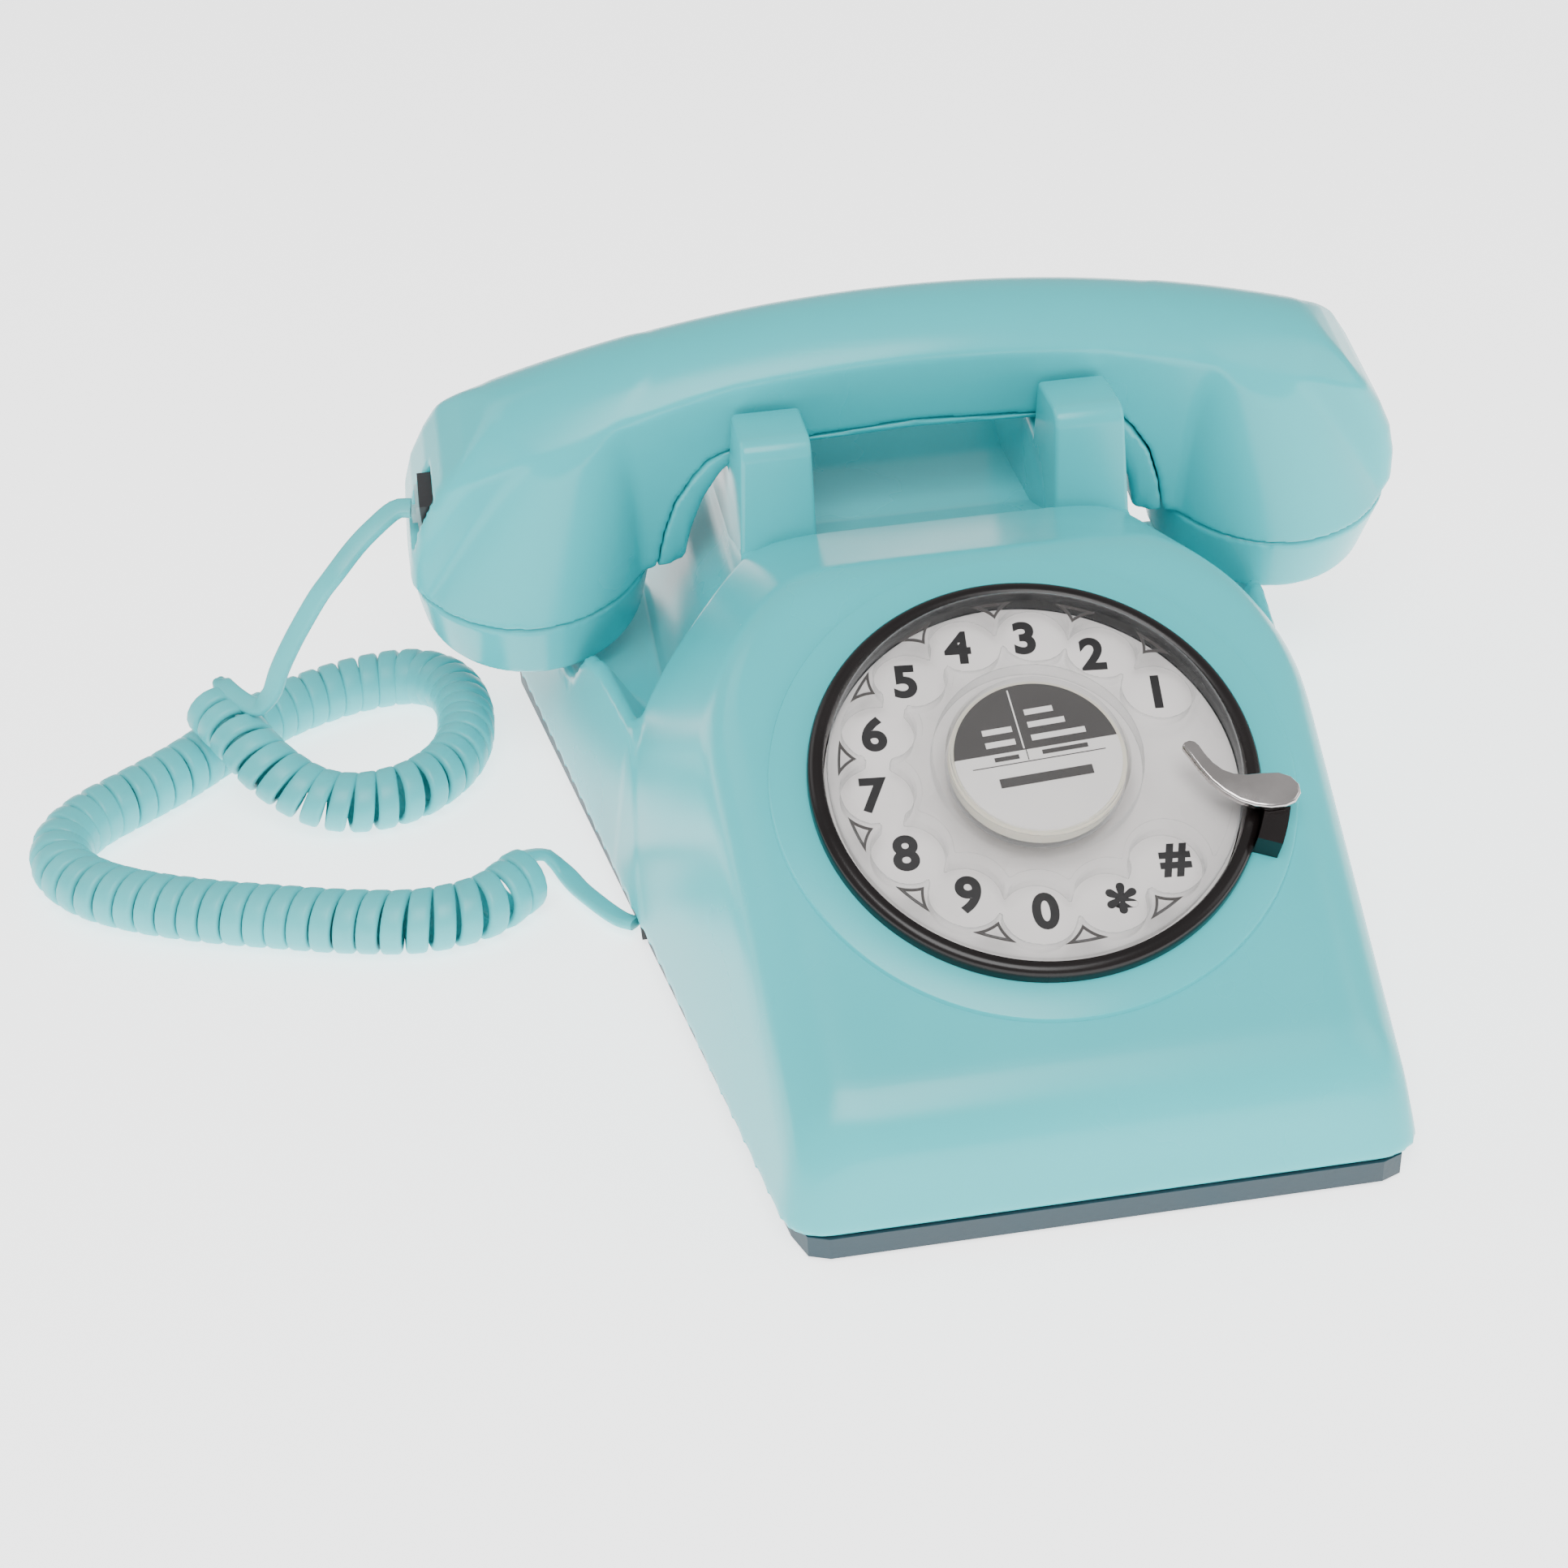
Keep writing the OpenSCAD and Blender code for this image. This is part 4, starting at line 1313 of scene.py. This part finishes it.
        def outline(trim: float) -> list[tuple[float, float]]:
            """A pocket's corners, with the rim on one side and the lips of two holes on the others.

            Args:
                trim: how far the outline is drawn in.

            Returns:
                The corners about the point on the rim halfway between two holes.
            """
            rim, lip = outer - trim, reach + trim
            hole = (self.hole_ring * math.cos(half_step), self.hole_ring * math.sin(half_step))
            tip = math.sqrt(max(lip**2 - hole[1] ** 2, 0.0)) + hole[0]
            edge = math.acos((rim**2 + self.hole_ring**2 - lip**2) / (2 * rim * self.hole_ring))
            a1 = half_step - edge
            start = math.atan2(rim * math.sin(a1) - hole[1], rim * math.cos(a1) - hole[0])
            end = math.atan2(-hole[1], tip - hole[0])
            side = [
                (
                    hole[0] + lip * math.cos(start + (end - start) * k / 10),
                    hole[1] + lip * math.sin(start + (end - start) * k / 10)
                ) for k in range(11)
            ]
            arc = [
                (
                    rim * math.cos(-a1 + 2 * a1 * k / 10), rim * math.sin(-a1 + 2 * a1 * k / 10)
                ) for k in range(1, 10)
            ]
            return [(x - outer, y) for x, y in side + [(x, -y) for x, y in side[-2::-1]] + arc]

        big, small = outline(0.0), outline(0.5)
        bm = bmesh.new()
        rings = [
            [
                bm.verts.new((x, y, height)) for x, y in loop
            ] for height in (0.5, 0.72) for loop in (big, small)
        ]
        low_out, low_in, top_out, top_in = rings
        for k in range(len(big)):
            m = (k + 1) % len(big)
            bm.faces.new((low_out[k], low_out[m], top_out[m], top_out[k]))
            bm.faces.new((low_in[m], low_in[k], top_in[k], top_in[m]))
            bm.faces.new((top_out[k], top_out[m], top_in[m], top_in[k]))
            bm.faces.new((low_out[m], low_out[k], low_in[k], low_in[m]))
        bmesh.ops.recalc_face_normals(bm, faces=bm.faces)
        # these dark outlines are a painted reflection of the bezel in the clear rim, not a dark part of the
        # wheel
        piece = from_bmesh("wheel_pockets", bm)
        first = math.radians(self.first + self.pitch / 2)
        ring_of(piece, GREY, self.case.dial_place(), 11, outer, first, math.radians(self.pitch))
        settle(piece, GREY, Body.DIAL)

    def button(self) -> None:
        """The label and the clear cap in the middle of the wheel."""
        place = self.case.dial_place()
        tilt = math.radians(3.0)
        turn = place @ Matrix.Rotation(tilt, 4, "Z")

        def segment(name: str, low: float, high: float, z0: float, z1: float) -> bpy.types.Object:
            """A part of the label's disc between two levels.

            Args:
                name: the piece's name.
                low: its lower edge.
                high: its upper edge.
                z0: its underside.
                z1: its top.

            Returns:
                The piece.
            """
            radius = 15.4
            rim = []
            for k in range(97):
                y = low + (high - low) * k / 96
                y = max(-radius + 1e-3, min(radius - 1e-3, y))
                rim.append((math.sqrt(radius**2 - y**2), y))
            loop = rim + [(-x, y) for x, y in reversed(rim)]
            bm = bmesh.new()
            below = [bm.verts.new((x, y, z0)) for x, y in loop]
            above = [bm.verts.new((x, y, z1)) for x, y in loop]
            bm.faces.new(above)
            bm.faces.new(below[::-1])
            for k in range(len(loop)):
                m = (k + 1) % len(loop)
                bm.faces.new((below[k], below[m], above[m], above[k]))
            bmesh.ops.recalc_face_normals(bm, faces=bm.faces)
            return from_bmesh(name, bm, turn)

        settle(segment("label_upper", 1.6, 15.4, 4.02, 4.66), GREY, Body.BUTTON, "button_label")
        settle(segment("label_lower", -15.4, 1.6, 4.02, 4.64), WHITE, Body.BUTTON)
        bm = bmesh.new()

        def bar(x: float, y: float, w: float, h: float) -> None:
            """Adds one thin flat bar to the label.

            Args:
                x: its middle across.
                y: its middle up.
                w: its width.
                h: its height.
            """
            made = bmesh.ops.create_cube(bm, size=1.0)["verts"]
            bmesh.ops.scale(bm, vec=(w, h, 0.06), verts=made)
            bmesh.ops.translate(bm, vec=(x, y, 4.7), verts=made)

        for x, y, w, h in (
            (-2.2, 8.2, 0.28, 12.6), (-6.2, 6.3, 5.6, 1.2), (-6.2, 3.6, 5.6, 1.2), (2.4, 9.3, 5.4, 1.2),
            (3.2, 6.6, 7.0, 1.2), (4.8, 3.8, 10.2, 1.2)
        ):
            bar(x, y, w, h)
        light = from_bmesh("label_light_bars", bm, turn)
        bm = bmesh.new()
        for x, y, w, h in (
            (0.0, -0.9, 25.0, 0.16), (-5.8, 0.4, 4.6, 0.9), (5.2, 0.5, 8.6, 0.9), (-1.9, 0.5, 0.16, 2.2),
            (0.4, -4.6, 17.4, 1.9)
        ):
            bar(x, y, w, h)
        dark = from_bmesh("label_dark_bars", bm, turn)
        settle(light, WHITE, Body.BUTTON)
        settle(dark, GREY, Body.BUTTON)
        profile = [(0.0, 4.75), (16.2, 4.75), (16.2, 5.9), (16.0, 6.15), (15.6, 6.3), (0.0, 6.45)]
        settle(
            revolve("button_window", profile, place, 96, closed=False), CLEAR, Body.BUTTON, "handsfree_cap"
        )

    def stop(self) -> None:
        """The plated finger stop."""
        outline = [
            (26.7, -1.2), (27.4, -0.5), (28.4, -0.2), (29.3, -0.6), (29.9, -1.4), (30.6, -3.4),
            (31.6, -5.4), (33.0, -7.1), (34.8, -8.2), (37.0, -8.7), (40.0, -8.8), (43.0, -9.1),
            (45.0, -10.2), (46.1, -12.0), (46.0, -13.9), (44.6, -15.5), (42.6, -16.2), (39.8, -16.2),
            (37.0, -15.4), (34.4, -14.0), (32.0, -11.7), (30.2, -9.2), (28.8, -6.4), (27.7, -3.6)
        ]
        bm = bmesh.new()
        low = [bm.verts.new((x, y, 2.3)) for x, y in outline]
        top = [bm.verts.new((x, y, 4.1)) for x, y in outline]
        bm.faces.new(top)
        bm.faces.new(low[::-1])
        for i in range(len(outline)):
            j = (i + 1) % len(outline)
            bm.faces.new((low[i], low[j], top[j], top[i]))
        bmesh.ops.recalc_face_normals(bm, faces=bm.faces)
        piece = from_bmesh("stop_arm", bm, self.case.dial_place())
        bevelled(piece, 0.6 * MM, 4, 60.0)
        settle(piece, CHROME, Body.BASE, "finger_stop")

    def build(self) -> None:
        """Builds the whole dial."""
        self.bezel()
        self.wheel()
        self.print_marks()
        self.painted_bezel_reflections()
        self.button()
        self.stop()


# ---------------------------------------------------------------- assembly


def carry_nodes() -> None:
    """Gives every CAD node that stays its finish."""
    for name, finish in CARRIED.items():
        dress(frame["nodes"][name], finish)


def main() -> None:
    """Builds the telephone and the studio in order."""
    logging.basicConfig(level=logging.INFO, format="%(message)s")
    Studio().build()
    CurlyCord().build()
    CaseShell().build()
    Handset().build()
    Dial().build()
    carry_nodes()


if __name__ == "__main__":
    main()
